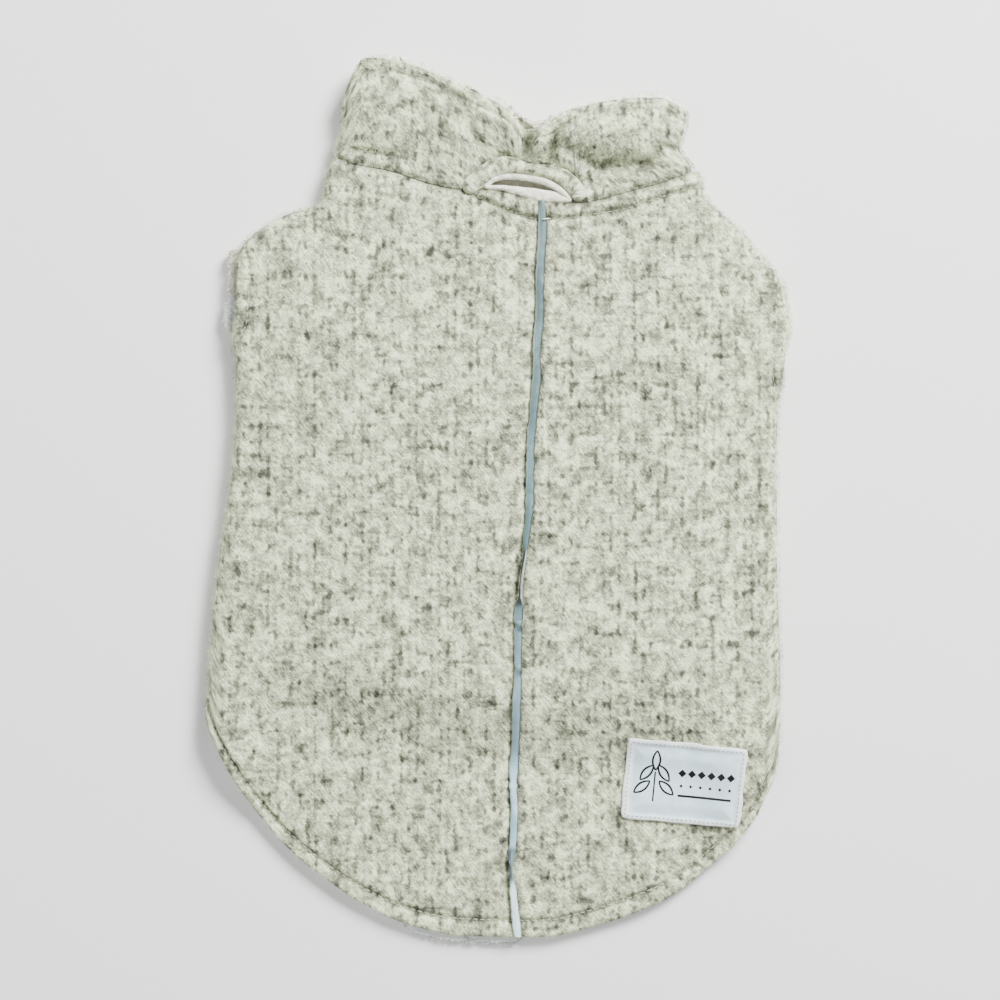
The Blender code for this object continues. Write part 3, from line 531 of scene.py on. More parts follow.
def made(name, verts, faces, finish, marks=None):
    """A mesh object from points in millimetres, joined where they meet, faces outward."""
    mesh = bpy.data.meshes.new(name)
    mesh.from_pydata((verts * MM).tolist(), [], faces)
    if marks is not None:
        mesh.attributes.new("grain", "FLOAT_VECTOR", "POINT").data.foreach_set(
            "vector", marks.astype(np.float32).ravel())
    bm = bmesh.new()
    bm.from_mesh(mesh)
    bmesh.ops.remove_doubles(bm, verts=bm.verts, dist=0.000002)
    bmesh.ops.recalc_face_normals(bm, faces=bm.faces)
    bm.to_mesh(mesh)
    bm.free()
    mesh.shade_smooth()
    mesh.materials.append(finish)
    obj = bpy.data.objects.new(name, mesh)
    bpy.context.scene.collection.objects.link(obj)
    return obj


RIM = 0.5     # how far a cut edge bulges, as a share of half its thickness


def shell(name, points, thick, finish, grain, tint=0.0, skip=5, roll=3, ring=False):
    """A closed wall of cloth. Its face is the grid; its edge rolls over in roll steps
    of a half circle as thick as the cloth, quarter balls at the corners; its back is
    a coarser grid. ring joins the first and last columns into a tube."""
    rows, columns = points.shape[:2]
    n = normals(points, ring)
    side = 0 if ring else roll
    i, j = np.meshgrid(np.arange(-roll, rows + roll), np.arange(-side, columns + side),
                       indexing="ij")
    ci, cj = np.clip(i, 0, rows - 1), np.clip(j, 0, columns - 1)
    over_i, over_j = np.abs(i - ci), np.abs(j - cj)
    end_i = np.where(ci[..., None] == 0, unit(points[0] - points[3])[cj],
                     unit(points[-1] - points[-4])[cj])
    end_j = np.where(cj[..., None] == 0, unit(points[:, 0] - points[:, 3])[ci],
                     unit(points[:, -1] - points[:, -4])[ci])
    most = np.maximum(np.maximum(over_i, over_j), 1)
    turn = (math.pi * np.maximum(over_i, over_j) / roll)[..., None]
    lean = (np.where(over_i >= over_j, over_j / most, 2 - over_i / most) * math.pi / 4)[..., None]
    outward = end_i * np.cos(lean) + end_j * np.sin(lean)
    skin = points[ci, cj] + thick / 2 * (n[ci, cj] * (np.cos(turn) - 1)
                                         + RIM * outward * np.sin(turn))
    skin[..., 2] = np.maximum(skin[..., 2], 0.0)
    high, wide = skin.shape[:2]
    number = np.arange(high * wide).reshape(high, wide)
    ri = np.unique(np.r_[np.arange(skip // 2, rows - 1, skip), rows - 1 - skip // 2])
    rj = np.arange(0, columns, skip) if ring else np.unique(
        np.r_[np.arange(skip // 2, columns - 1, skip), columns - 1 - skip // 2])
    back = np.ix_(ri, rj)
    inner = high * wide + np.arange(len(ri) * len(rj)).reshape(len(ri), len(rj))
    faces = cells(number, ring) + cells(inner, ring)
    if ring:
        at = np.r_[rj, columns] * 1.0
        for fine, coarse in ((number[0], inner[0]), (number[-1], inner[-1])):
            faces += between(fine, np.arange(wide) * 1.0, np.r_[coarse, coarse[0]], at)
    else:
        fine, place = border(high, wide, number)
        coarse, at = border(len(ri), len(rj), inner)
        faces += between(fine, place, coarse, at)
    verts = np.concatenate([skin.reshape(-1, 3), (points - n * thick)[back].reshape(-1, 3)])
    third = np.zeros((rows, columns)) + tint
    marks = np.concatenate([grain, third[..., None]], -1)
    marks = np.concatenate([marks[ci, cj].reshape(-1, 3), marks[back].reshape(-1, 3)])
    return made(name, verts, faces, finish, marks)


class Number:
    """A number in a shader: + - * / powers and abs() on it add Math nodes."""

    def __init__(self, socket):
        self.socket, self.tree = socket, socket.id_data

    def math(self, operation, *values):
        node = self.tree.nodes.new("ShaderNodeMath")
        node.operation = operation
        for slot, value in zip(node.inputs, values):
            plug(slot, value)
        return Number(node.outputs[0])

    def __add__(self, other): return self.math("ADD", self, other)
    def __radd__(self, other): return self.math("ADD", other, self)
    def __sub__(self, other): return self.math("SUBTRACT", self, other)
    def __rsub__(self, other): return self.math("SUBTRACT", other, self)
    def __mul__(self, other): return self.math("MULTIPLY", self, other)
    def __rmul__(self, other): return self.math("MULTIPLY", other, self)
    def __truediv__(self, other): return self.math("DIVIDE", self, other)
    def __rpow__(self, other): return self.math("POWER", other, self)
    def __abs__(self): return self.math("ABSOLUTE", self)

    def at_least(self, other):
        return self.math("MAXIMUM", self, other)

    def at_most(self, other):
        return self.math("MINIMUM", self, other)

    def held(self):
        """The number between 0 and 1."""
        return self.at_most(1.0).at_least(0.0)

    def sine(self):
        return self.math("SINE", self)


def plug(slot, value):
    """Links a socket or a Number to an input, or sets its value."""
    if isinstance(value, Number):
        value = value.socket
    if isinstance(value, bpy.types.NodeSocket):
        slot.id_data.links.new(value, slot)
    else:
        slot.default_value = value


class Finish:
    """A material being mixed round its shader."""

    def __init__(self, name, rough, **fixed):
        self.material = bpy.data.materials.new(name)
        self.material.use_nodes = True
        self.tree = self.material.node_tree
        self.shader = self.tree.nodes["Principled BSDF"]
        self.shader.inputs["Roughness"].default_value = rough
        for socket, value in fixed.items():
            self.shader.inputs[socket.replace("_", " ")].default_value = value

    def node(self, kind, settings=None, out=0, **sockets):
        """Adds a node with those settings and inputs, and gives its output of that number."""
        node = self.tree.nodes.new("ShaderNode" + kind)
        for setting, value in (settings or {}).items():
            setattr(node, setting, value)
        for name, value in sockets.items():
            found = [s for s in node.inputs if s.identifier == name] or [
                s for s in node.inputs if s.name == name.replace("_", " ") and s.enabled]
            plug(found[0], value)
        return node.outputs[out]

    def number(self, kind, settings=None, out=0, **sockets):
        return Number(self.node(kind, settings, out, **sockets))

    def vector(self, x, y):
        return self.node("CombineXYZ", X=x, Y=y, Z=0.0)

    def grain(self):
        """The three numbers of a piece's grain: places on the cloth, and a tint, which on the
        knit is painted shade and painted light.
        """
        where = self.node("Attribute", {"attribute_name": "grain"}, 1)
        return [Number(part) for part in self.node("SeparateXYZ", Vector=where).node.outputs]

    def mix(self, first, second, share):
        """A colour that share of the way from the first to the second."""
        return self.node("Mix", {"data_type": "RGBA"}, 2, Factor_Float=share,
                         A_Color=first, B_Color=second)

    def noise(self, where, scale, detail=2.0, rough=0.5):
        """Flat fractal noise between 0 and 1."""
        return self.number("TexNoise", {"noise_dimensions": "2D"}, 0, Vector=where, Scale=scale,
                           Detail=detail, Roughness=rough)

    def finish(self, colour, height=None, deep=0.0, strength=1.0):
        """Colour, and bump of that height times deep in metres."""
        plug(self.shader.inputs["Base Color"], colour)
        if height is not None:
            bump = self.node("Bump", Strength=strength, Distance=deep, Height=height)
            plug(self.shader.inputs["Normal"], bump)
        return self.material


KNIT_TONE = (0.42, 0.455, 0.30)     # the mean of the yarn


def knit_finish():
    """Heathered yarn: cream-grey loops with dark grey ones gathered in clouds, softened
    by a brushed nap of slanting fibres. Tones are stops of light round the mean; the
    grain's third number takes stops off for painted shade, and where it is below zero,
    as on the hem band, adds them for painted light."""
    cloth = Finish("brushed_knit", 0.93, Sheen_Weight=0.15, Sheen_Roughness=0.5)
    x, y, pressing_and_painted_shade = cloth.grain()

    def tone(wide, tall, shift, octaves=1.0, rough=0.5, lean=0.0):
        """Noise from about -1 to 1 with lumps that wide and tall in millimetres."""
        place = cloth.vector((x + shift + y * lean) / wide, (y - shift) / tall)
        return (cloth.noise(place, 0.5, octaves, rough) - 0.5) * 3.0

    clouds = tone(10.0, 14.0, 5.0, 2.0)
    columns = (x * (2 * math.pi / STITCH_WIDE) + tone(9.0, 30.0, 70.0) * 1.2).sine()
    rows_of = (y * (2 * math.pi / 3.0) + tone(20.0, 8.0, 90.0) * 1.6).sine()
    lumps = tone(2.7, 2.1, 0.0, 2.0, 0.4)
    lumps_b = tone(2.0, 2.6, 40.0, 2.0, 0.4)
    light = tone(3.0, 2.0, 80.0, 3.0, 0.8)
    light_b = tone(2.2, 3.4, 20.0, 2.0, 0.6)
    strokes = tone(0.5, 1.5, 11.0, 2.0, 0.7, 0.7)
    fine = tone(0.9, 0.8, 33.0, 3.0, 0.8)
    dark = ((lumps + columns * 0.17 + rows_of * 0.11 + clouds * 0.17 - 0.29) * 2.1).held()
    dark_b = ((lumps_b + columns * 0.17 + clouds * 0.20 - 0.35) * 2.3).held()
    stops = light * 1.5 + light_b * 1.2 + strokes * 0.6 + fine * 0.75 + tone(6.0, 7.0, 3.0) * 0.6
    # The grain's third number: painted shade in grooves, seams and creases, painted light where
    # it is below zero.
    stops = stops - (dark + dark_b) * 1.5 - clouds * 0.25 - columns * 0.06 + 0.38 - pressing_and_painted_shade * 1.1
    high = stops.at_least(0.0)
    stops = (stops - high * high * 0.2).at_most(1.15)
    body = cloth.node("VectorMath", {"operation": "SCALE"}, Vector=KNIT_TONE, Scale=2.0 ** stops)
    height = strokes * 0.5 + fine * 0.6 + light * 0.4 - (dark + dark_b) * 0.3
    return cloth.finish(body, height, 0.0004, 0.8)


KNIT = knit_finish()
rows = 391
halves = {}
for name, fold, hem, size, area in (
    ("back_left", LEFT, LEFT_HEM, (0.191, 0.338), 0.045),
    ("back_right", RIGHT, RIGHT_HEM, (0.163, 0.333), 0.0385),
):
    points, grain, open_edge = back_grid(fold, hem, rows, int(rows * 0.37), 24, 12)
    relief, pressing_and_painted_shade, from_hem, from_edge = back_relief(points, grain, open_edge)
    if fold is LEFT:
        # Columns turned about, so that both halves face outward.
        points, grain, relief, pressing_and_painted_shade, from_hem, from_edge = (
            each[:, ::-1] for each in (points, grain, relief, pressing_and_painted_shade, from_hem, from_edge))
    cloth = dressed(points, relief)
    halves[name] = cloth, grain, from_hem, from_edge, open_edge[:, 0]
    half = shell(name + "_cloth", cloth, KNIT_THICK, KNIT, grain, tint=pressing_and_painted_shade)
    sewn_in(half, "knit_fleece", name)

# ---------------------------------------------------------------------------
# The belly panel. The same knit, flat under the coat where it rests, sewn to
# the back's side seams; its edges show only at the armholes.
# ---------------------------------------------------------------------------
NECK_PULL, NECK_FADE, BELLY_DIP = 40.0, 75.0, 7.0     # the curves of its neck and hem
# Where its edge shows past the back at the left armhole.
LEFT_PEEK = np.array([
    # y      x
    (66.0, -108.5), (69.5, -112.8), (73.0, -115.6), (76.0, -116.8), (79.5, -116.2),
    (82.5, -116.5), (85.5, -115.0), (90.0, -114.9), (100.0, -115.0), (104.0, -114.6),
    (105.8, -113.4), (107.0, -109.0),
])


def front_neck(shares):
    """The neck seam under the coat: a cubic curve that leaves each fold at a right
    angle and runs NECK_PULL straight in."""
    ends = []
    for fold in (LEFT, RIGHT):
        start = fold.bend(fold.at[NECK_ROW])
        ends.append((start, start - fold.frame(fold.at[NECK_ROW])[1] * NECK_PULL))
    (a, b), (d, c) = ends
    t = np.asarray(shares)[:, None]
    return (1 - t) ** 3 * a + 3 * t * (1 - t) ** 2 * b + 3 * t * t * (1 - t) * c + t ** 3 * d


def front_shares(columns):
    """Shares of that seam between the back's two underside strips."""
    strip = LEFT.rows[NECK_ROW, 4] - math.pi * LAY / 2 + SEAM_GAP
    return np.linspace(strip / (3 * NECK_PULL), 1 - strip / (3 * NECK_PULL), columns)


def belly_grid(rows, columns):
    """The belly panel's underside from the neck to the belly hem, right to left."""
    edges = []
    for fold in (LEFT, RIGHT):
        s = fold_shares(fold, np.linspace(0, 1, rows))
        table = through(fold.at, fold.rows, s)
        under = table[:, 4] - math.pi * table[:, 2]
        reach = np.where(under > 0, -under - SEAM_GAP, table[:, 5])
        s = s - table[:, 6] / fold.length
        edges.append(fold.bend(s) + fold.frame(s)[1] * reach[:, None])
    shown = (edges[0][:, 1] > LEFT_PEEK[0, 0]) & (edges[0][:, 1] < LEFT_PEEK[-1, 0])
    edges[0][shown, 0] = by_x(LEFT_PEEK, edges[0][shown, 1])
    u = np.linspace(0, 1, columns)[None, :, None]
    flat = (1 - u) * edges[0][:, None] + u * edges[1][:, None]
    neck = front_neck(front_shares(columns)) - flat[0]
    low = (edges[0][:, 1] + edges[1][:, 1]) / 2
    fade = 1 - ramp((low[0] - low) / NECK_FADE)
    dip = 4 * u * (1 - u) * BELLY_DIP * ramp(1 - (low - low[-1]) / 60.0)[:, None, None]
    flat = flat + neck[None] * fade[:, None, None] - dip * np.array((0.0, 1.0))
    flat = flat[:, ::-1]
    return raised(flat, np.zeros(flat.shape[:-1])), flat


belly, belly_grain = belly_grid(161, 113)
relief = np.minimum(knit_relief(belly_grain[..., 0], belly_grain[..., 1]), 0.0)
belly_cloth = shell("belly_cloth", dressed(belly, relief), KNIT_THICK, KNIT, belly_grain)
sewn_in(belly_cloth, "knit_fleece", "belly_panel")

# ---------------------------------------------------------------------------
# The collar. One tube of the knit round the neck, taller at the left. It lies
# flat, front half under back half, and buckles in two pinches above the slit.
# ---------------------------------------------------------------------------
FRONT_PEEK = 1.2                         # how far the front may show above the back
BACK_COLUMNS, TURN_COLUMNS, FRONT_COLUMNS = 230, 24, 80
RIGHT_FOOT = BACK_COLUMNS + TURN_COLUMNS - 2     # last column of the turn at the right
LEFT_FOOT = RIGHT_FOOT + FRONT_COLUMNS + 1       # first column of the one at the left
PATTERN_BREAK = 296                              # column where the knit's two ends meet
SLIT_ARCH = np.array([
    # x      y
    (-16.2, 131.2), (-14.4, 134.6), (-10.5, 139.0), (-6.2, 142.2), (-1.4, 144.4), (3.8, 144.9),
    (8.9, 143.3), (13.2, 141.8), (19.8, 141.6), (24.0, 140.7), (29.0, 139.2), (33.2, 135.0),
    (35.6, 129.8), (37.0, 126.4),
])
COLLAR_TOP = np.array([
    # x      y
    (-59.0, 186.6), (-50.0, 187.2), (-42.5, 186.2), (-34.0, 183.6), (-25.5, 180.2),
    (-11.5, 173.4), (3.0, 166.2), (8.1, 160.2), (11.8, 156.8), (15.7, 158.0), (20.4, 159.8),
    (26.8, 163.0), (34.0, 166.4), (42.5, 168.7), (50.6, 170.0), (60.0, 170.8), (70.0, 170.8),
])
COLLAR_FOLDS = np.array([
    # x0     y0     x1     y1    half  rise
    (-44.0, 168.0, -30.0, 160.0, 17.0, 2.2),
    (-66.0, 148.6, -40.0, 144.0, 3.2, -1.3),
    (-20.0, 168.0, -10.0, 148.0, 5.0, -1.0),
    (10.0, 156.0, 9.6, 146.0, 4.2, -1.2),
    (22.8, 158.0, 21.4, 146.0, 4.2, -1.1),
    (36.0, 156.0, 70.0, 159.0, 9.5, 4.2),
    (38.0, 142.4, 62.0, 142.6, 3.2, -1.6),
    (62.0, 142.6, 76.0, 148.6, 3.0, -1.4),
])
COLLAR_CREASES = np.array([
    # x0     y0     x1     y1    half  rise
    (11.2, 155.0, 10.2, 143.6, 0.9, -2.4),     # the sharp pinch above the slit
    (12.0, 155.6, 11.4, 149.0, 2.0, -1.6),
    (5.0, 156.0, 5.6, 148.0, 3.6, 1.3),        # rises on both its sides
    (16.6, 155.0, 16.0, 147.0, 3.2, 1.6),
    (24.4, 161.0, 26.2, 157.6, 0.9, -1.6),     # the second one
    (23.8, 155.0, 20.6, 143.6, 1.8, -2.0),
    (28.0, 156.0, 26.0, 146.0, 3.0, 1.1),
    (26.0, 150.0, 33.0, 144.0, 2.2, -1.0),
    (-22.0, 168.5, -8.5, 150.0, 2.6, -1.2),    # crease down the left lobe
    (-26.0, 164.0, -16.0, 151.0, 4.0, 0.9),
    (-16.0, 158.0, -2.0, 148.0, 3.0, 0.7),
    (-68.0, 148.9, -53.0, 147.2, 1.1, -3.0),   # at the left notch
    (-53.0, 147.2, -41.0, 143.6, 1.3, -1.9),
    (-64.0, 144.6, -44.0, 141.4, 3.0, 0.9),
    (-67.0, 145.4, -42.0, 138.9, 1.5, -0.8),
    (-42.0, 138.9, -22.0, 135.2, 1.5, -0.8),
    (-60.0, 170.0, -52.0, 150.0, 4.5, 0.7),
    (75.0, 149.6, 67.0, 148.6, 1.6, -2.2),     # under the rolled right lobe
    (67.0, 148.6, 63.0, 142.5, 2.2, -1.7),
    (63.0, 142.0, 42.5, 141.0, 2.6, -2.2),
    (42.5, 141.0, 33.0, 146.8, 2.4, -1.6),
    (42.0, 149.6, 60.0, 150.0, 4.0, 1.2),
    (40.0, 134.8, 66.0, 137.2, 3.4, 1.0),      # the neck below it
    (75.2, 163.0, 76.4, 153.0, 1.0, -0.9),     # line inside its round end
])


def collar_grid(rows, across, turn, front):
    """The collar as a ring of columns: back from left to right, round the right fold,
    front from right to left, round the left fold; rows from the top edge down. Each
    face is its two edges blended, v being 1 at the top edge, raised by its folds."""
    index = np.linspace(0, NECK_ROW, rows)
    v = 1 - index / NECK_ROW
    gap = SEAM_GAP + 0.1
    stations = [np.interp(index, np.arange(NECK_ROW + 1), fold.at[:NECK_ROW + 1])
                - ramp(1 - v * 8) * gap / fold.length for fold in (LEFT, RIGHT)]
    bend_l, bend_r = LEFT.bend(stations[0]), RIGHT.bend(stations[1])
    share = np.linspace(0, 1, across)
    low_x = bend_l[-1, 0] + share * (bend_r[-1, 0] - bend_l[-1, 0])
    seam = by_x(NECK_SEAM, low_x) + gap
    arch = np.where((low_x > SLIT_ARCH[0, 0]) & (low_x < SLIT_ARCH[-1, 0]),
                    by_x(SLIT_ARCH, low_x), 0.0)
    low = np.stack([low_x, np.maximum(arch, seam)], -1)
    high_x = bend_l[0, 0] + share * (bend_r[0, 0] - bend_l[0, 0])
    high = np.stack([high_x, by_x(COLLAR_TOP, high_x)], -1)
    flat = stretched(bend_l, bend_r, high, low, share, 1 - v)
    tables = [through(fold.at, fold.rows, s) for fold, s in zip((LEFT, RIGHT), stations)]
    lay_l, lay_r = 2 * tables[0][:, 2:3], 2 * tables[1][:, 2:3]
    base = (1 - share)[None] * lay_l + share[None] * lay_r
    inside = fold_distance(flat) - base / 2
    free = ramp(v / 0.3)[:, None]
    folds = creases(flat, COLLAR_FOLDS) * ramp(inside / 14.0)
    folds += 0.4 * mottle(flat[..., 0], flat[..., 1], 13.0, 31) * ramp(inside / 8.0)
    folds += creases(flat, COLLAR_CREASES) * ramp(inside / 3.0 + 0.35) * ramp(v / 0.12)[:, None]
    back = raised(flat, base + CROWN * ramp(inside / BILLOW) + folds * free)

    def wrap(fold, s, table, top, shares):
        """Columns round one fold, at shares of its half turn."""
        at = s[:, None] + table[:, 6:7] * (1 - (1 - shares) ** 1.6) / fold.length
        return fold.point(at, shares * math.pi * table[:, 2:3], top[:, None])

    shares = np.arange(1, turn) / turn
    right = wrap(RIGHT, stations[1], tables[1], back[:, -1, 2], shares[None])
    left = wrap(LEFT, stations[0], tables[0], back[:, 0, 2], shares[None, ::-1])
    last = np.ones((1, 1))
    front_r = wrap(RIGHT, stations[1], tables[1], back[:, -1, 2], last)[:, 0]
    front_l = wrap(LEFT, stations[0], tables[0], back[:, 0, 2], last)[:, 0]
    s = np.r_[0.0, front_shares(front - 2), 1.0]
    under = (1 - s)[None, :, None] * front_r[:, None] + s[None, :, None] * front_l[:, None]
    seam = front_neck(1 - s) + (0.0, gap) - under[-1, :, :2]
    seam[0], seam[-1] = 0.0, 0.0
    reach = np.minimum(0.0, by_x(COLLAR_TOP, under[0, :, 0]) + FRONT_PEEK - under[0, :, 1])
    under[..., :2] += seam[None] * ((1 - v) ** 2)[:, None, None]
    under[..., 1] += reach[None] * v[:, None]
    under[..., 2] = 0.0
    ring = np.concatenate([back, right, under, left], 1)
    column = np.arange(ring.shape[1])
    soft = np.zeros(ring.shape[1])
    for bend in (0, across - 1, ring.shape[1]):
        soft = np.maximum(soft, np.exp(-(((column - bend) / (0.035 * across)) ** 2)))
    for _ in range(40 * across // BACK_COLUMNS + 10):
        mean = 0.5 * (np.roll(ring[..., 2], 1, axis=1) + np.roll(ring[..., 2], -1, axis=1))
        ring[..., 2] += 0.5 * soft * (mean - ring[..., 2])
    return ring


def stacked(*parts):
    """Arrays spread over one grid and put side by side in its last axis."""
    return np.stack(np.broadcast_arrays(*parts), -1)


def slide(points, reach, end, fade=9.0):
    """Moves the cloth along itself at one end row, fading out over a length."""
    way = unit(points[end] - points[1 if end == 0 else -2])
    far = lengths(points, 0) if end == 0 else lengths(points[::-1], 0)[::-1]
    return points + way[None] * (np.asarray(reach) * ramp(1 - far / fade))[..., None]


def corner_drop(x):
    """How far the top edge has sunk in the rounded left corner: as the square of the
    distance past where it starts."""
    return 10.0 * np.clip((-56.0 - x) / 9.8, 0, 1) ** 2


collar = collar_grid(91, BACK_COLUMNS, TURN_COLUMNS, FRONT_COLUMNS)
edge = lengths(collar, 0)
to_seam = edge[-1:] - edge
collar_x = np.cumsum(np.r_[0.0, np.linalg.norm(np.diff(collar[45], axis=0), axis=-1)])
# The pattern's break lies under the collar, not at the fold where the columns start.
collar_x[PATTERN_BREAK:] -= collar_x[-1] + np.linalg.norm(collar[45, 0] - collar[45, -1])
collar_grain = stacked(collar_x - 250.0, 300.0 - edge)
relief = knit_relief(collar_grain[..., 0], collar_grain[..., 1]) * ramp(edge / 3.0)
relief += 0.45 * bell(edge, 3.0, 1.8) - 0.5 * bell(edge, 6.2, 1.2)
relief -= 1.2 * bell(to_seam, 0.0, 1.4)
# Painted shade in the neck seam and in the groove 6 mm below the top edge.
pressing_and_painted_shade = 0.9 * bell(to_seam, 0.0, 1.4) + 0.15 * bell(edge, 6.2, 1.2)
columns = np.arange(collar.shape[1])
beneath = ramp(np.interp(columns, (BACK_COLUMNS, RIGHT_FOOT, LEFT_FOOT, len(columns)),
                         (0.0, 1.0, 1.0, 0.0)))
# Painted shade in the creases of the collar's upper face.
pressing_and_painted_shade += (1 - beneath) * 0.36 * np.clip(-creases(collar[..., :2], COLLAR_CREASES), 0, 2.4)
relief -= np.maximum(relief, 0.0) * beneath
back_in = -1.2 * ramp((collar[0, :, 0] + 62.0) / 20.0) * (1 - beneath)
collar = slide(slide(collar, back_in, 0), -corner_drop(collar[0, :, 0]), 0, 32.0)
collar_cloth = shell("collar_cloth", dressed(collar, relief, ring=True), KNIT_THICK, KNIT,
                     collar_grain, tint=pressing_and_painted_shade, ring=True)
sewn_in(collar_cloth, "knit_fleece", "collar")

# ---------------------------------------------------------------------------
# The linings. Cream curly pile, 2.6 mm thick, sewn inside the back, the belly
# panel and the collar; it shows at the collar's top, the armholes and the hem.
# ---------------------------------------------------------------------------
PILE_THICK, LINING_GAP = 2.6, 0.5


def pile_relief(grain, high):
    """Curls: round lumps a few millimetres wide, on broader clumps."""
    x, y = grain[..., 0], grain[..., 1]
    lump = 1 - 2 * np.abs(mottle(x, y, 3.1, 41)) ** 0.8
    return high * (0.45 * lump + 0.35 * mottle(x, y, 1.7, 42) + 0.3 * mottle(x, y, 6.0, 43))


def pile_finish():
    """Cream wool-like curls with shaded gaps between them; the tint turns them bluer."""
    pile = Finish("curly_pile", 0.95, Sheen_Weight=0.3, Sheen_Roughness=0.6)
    blue = pile.grain()[2]
    place = pile.node("TexCoord", out=3)
    curl = pile.number("TexNoise", Vector=place, Scale=620.0, Detail=3.0, Distortion=1.4)
    knots = pile.number("TexVoronoi", Vector=place, Scale=420.0)
    height = curl * 0.7 + (1.0 - knots) * 0.6
    body = pile.mix((0.62, 0.61, 0.46, 1), (0.98, 0.98, 0.84, 1), (height * 1.25 - 0.15).held())
    body = pile.mix(body, (0.88, 0.95, 0.98, 1), blue * 0.8)
    return pile.finish(body, height, 0.0009, 0.9)


PILE = pile_finish()


def threads(name, path, girth, sides, across, finish, marks=None):
    """Threads along paths, a row each: rings of a few sides with that radius, square to
    the path and starting square to the direction across, closed at both tips."""
    run = unit(np.gradient(path, axis=1))
    side = unit(np.cross(run, across))
    up = np.cross(side, run)
    angle = (np.arange(sides) * 2 * math.pi / sides)[None, None, :, None]
    skin = path[:, :, None] + girth * (side[:, :, None] * np.cos(angle)
                                       + up[:, :, None] * np.sin(angle))
    number = np.arange(skin.size // 3).reshape(skin.shape[:3])
    ahead = np.roll(number, -1, axis=2)
    faces = np.stack([number[:, :-1], number[:, 1:], ahead[:, 1:], ahead[:, :-1]], -1)
    tips = np.concatenate([number[:, 0, ::-1], number[:, -1]])
    return made(name, skin.reshape(-1, 3), faces.reshape(-1, 4).tolist() + tips.tolist(),
                finish, marks)


def curls(name, roots, ways, long, tint, seed, thick=0.17, wind=1.0, steps=10, finish=PILE,
          grain=None):
    """Loose curls of the pile: each a three-sided thread that winds about its own way,
    root + way * long * t + (side cos + other sin) * wind * 0.5 * t^0.5, finer at its tip."""
    draw = np.random.default_rng(seed)
    count = len(roots)
    ways = unit(ways + draw.normal(0, 0.35, (count, 3)))
    side = unit(np.cross(ways, draw.normal(0, 1, (count, 3))))
    other = np.cross(ways, side)
    t = np.linspace(0, 1, steps)[None, :, None]
    turn = draw.uniform(0, 6.28, (count, 1, 1)) + draw.uniform(5, 9, (count, 1, 1)) * wind * t
    size = draw.uniform(0.35, 0.65, (count, 1, 1)) * wind * np.sqrt(t)
    path = (roots[:, None] + ways[:, None] * long * draw.uniform(0.6, 1.1, (count, 1, 1)) * t
            + (side[:, None] * np.cos(turn) + other[:, None] * np.sin(turn)) * size)
    path[..., 2] = np.maximum(path[..., 2], thick + 0.08)
    place = np.zeros((count, 2)) if grain is None else grain
    marks = np.repeat(np.column_stack([place, tint]), steps * 3, axis=0)
    girth = thick * (1 - 0.6 * t[..., None])
    sewn_in(threads(name, path, girth, 3, (0.3, 0.2, 1.0), finish, marks),
            "pile_lining" if finish is PILE else "knit_fleece")


def some(draw, mask, many):
    near = np.argwhere(mask)
    return near[draw.integers(0, len(near), many)].T


def inside_of(points, ring=False):
    """The pile side of a lining under that face, its columns turned about so that it
    faces inward."""
    return (points - normals(points, ring) * (KNIT_THICK + LINING_GAP + PILE_THICK))[:, ::-1]


left, left_grain, _ = back_grid(LEFT, LEFT_HEM, 161, 56, 16, 6)
right, right_grain, _ = back_grid(RIGHT, RIGHT_HEM, 161, 56, 16, 6)
whole = np.concatenate([left[:, :0:-1], (left[:, :1] + right[:, :1]) / 2, right[:, 1:]], 1)
whole_grain = np.concatenate([left_grain[:, :0:-1], right_grain], 1)
hem_x = whole[-1, :, 0]
shows = ramp((hem_x + 46.0) / 12.0) * ramp((12.0 - hem_x) / 8.0)
whole = slide(slide(whole, -1.0 + 3.8 * shows, -1), -0.6, 0)
pile = inside_of(whole)
pile_grain = whole_grain[:, ::-1]
edge = np.minimum(lengths(pile[::-1], 0)[::-1], 12.0)
lumps = pile_relief(pile_grain, 0.7 + 0.5 * ramp(1 - edge / 10.0))
back_lining = shell("back_lining_pile", dressed(pile, lumps), PILE_THICK, PILE, pile_grain,
                    tint=0.9 * ramp(1 - edge / 9.0), skip=4)
count = 210                          # loose curls below the hem
draw = np.random.default_rng(81)
at = draw.uniform(-44.0, 9.0, count)
low = pile[-1, np.abs(pile[-1, :, 0][None] - at[:, None]).argmin(1)]
spots = low + draw.normal(0, 1, (count, 3)) * (0.4, 0.3, 0.5) + (0.0, 0.3, 1.1)
spots[:, 2] = np.maximum(spots[:, 2], 0.7)
curls("hem_curls", spots, np.tile((0.0, -0.8, 0.15), (count, 1)), 1.5,
      draw.uniform(0.1, 1.0, count), 82, thick=0.36, wind=1.3)
sewn_in(back_lining, "pile_lining", "back_lining")

belly, belly_grain = belly_grid(181, 121)
pile = belly.copy()
pile[..., 2] = KNIT_THICK + LINING_GAP + PILE_THICK
pile, pile_grain = pile[:, ::-1], belly_grain[:, ::-1]
edge = lengths(pile, 1)
lumps = pile_relief(pile_grain, 0.7 + 0.5 * ramp(1 - edge / 9.0))
blue = ramp((88.0 - pile_grain[..., 1]) / 3.0) * ramp((pile_grain[..., 1] - 71.0) / 3.0)
belly_lining = shell("belly_lining_pile", dressed(pile, lumps), PILE_THICK, PILE, pile_grain,
                     tint=0.6 * blue * ramp(1 - edge / 14.0), skip=4)
draw = np.random.default_rng(83)
i, j = some(draw, (edge < 4.5) & (pile[..., 1] > 68.0) & (pile[..., 1] < 106.0)
            & (pile[..., 0] < 0.0), 560)
spots = pile[i, j] + draw.normal(0, 0.4, (len(i), 3))
curls("tongue_curls", spots, np.tile((-0.45, 0.0, 0.8), (len(i), 1)), 1.2, blue[i, j], 84)
sewn_in(belly_lining, "pile_lining", "belly_lining")

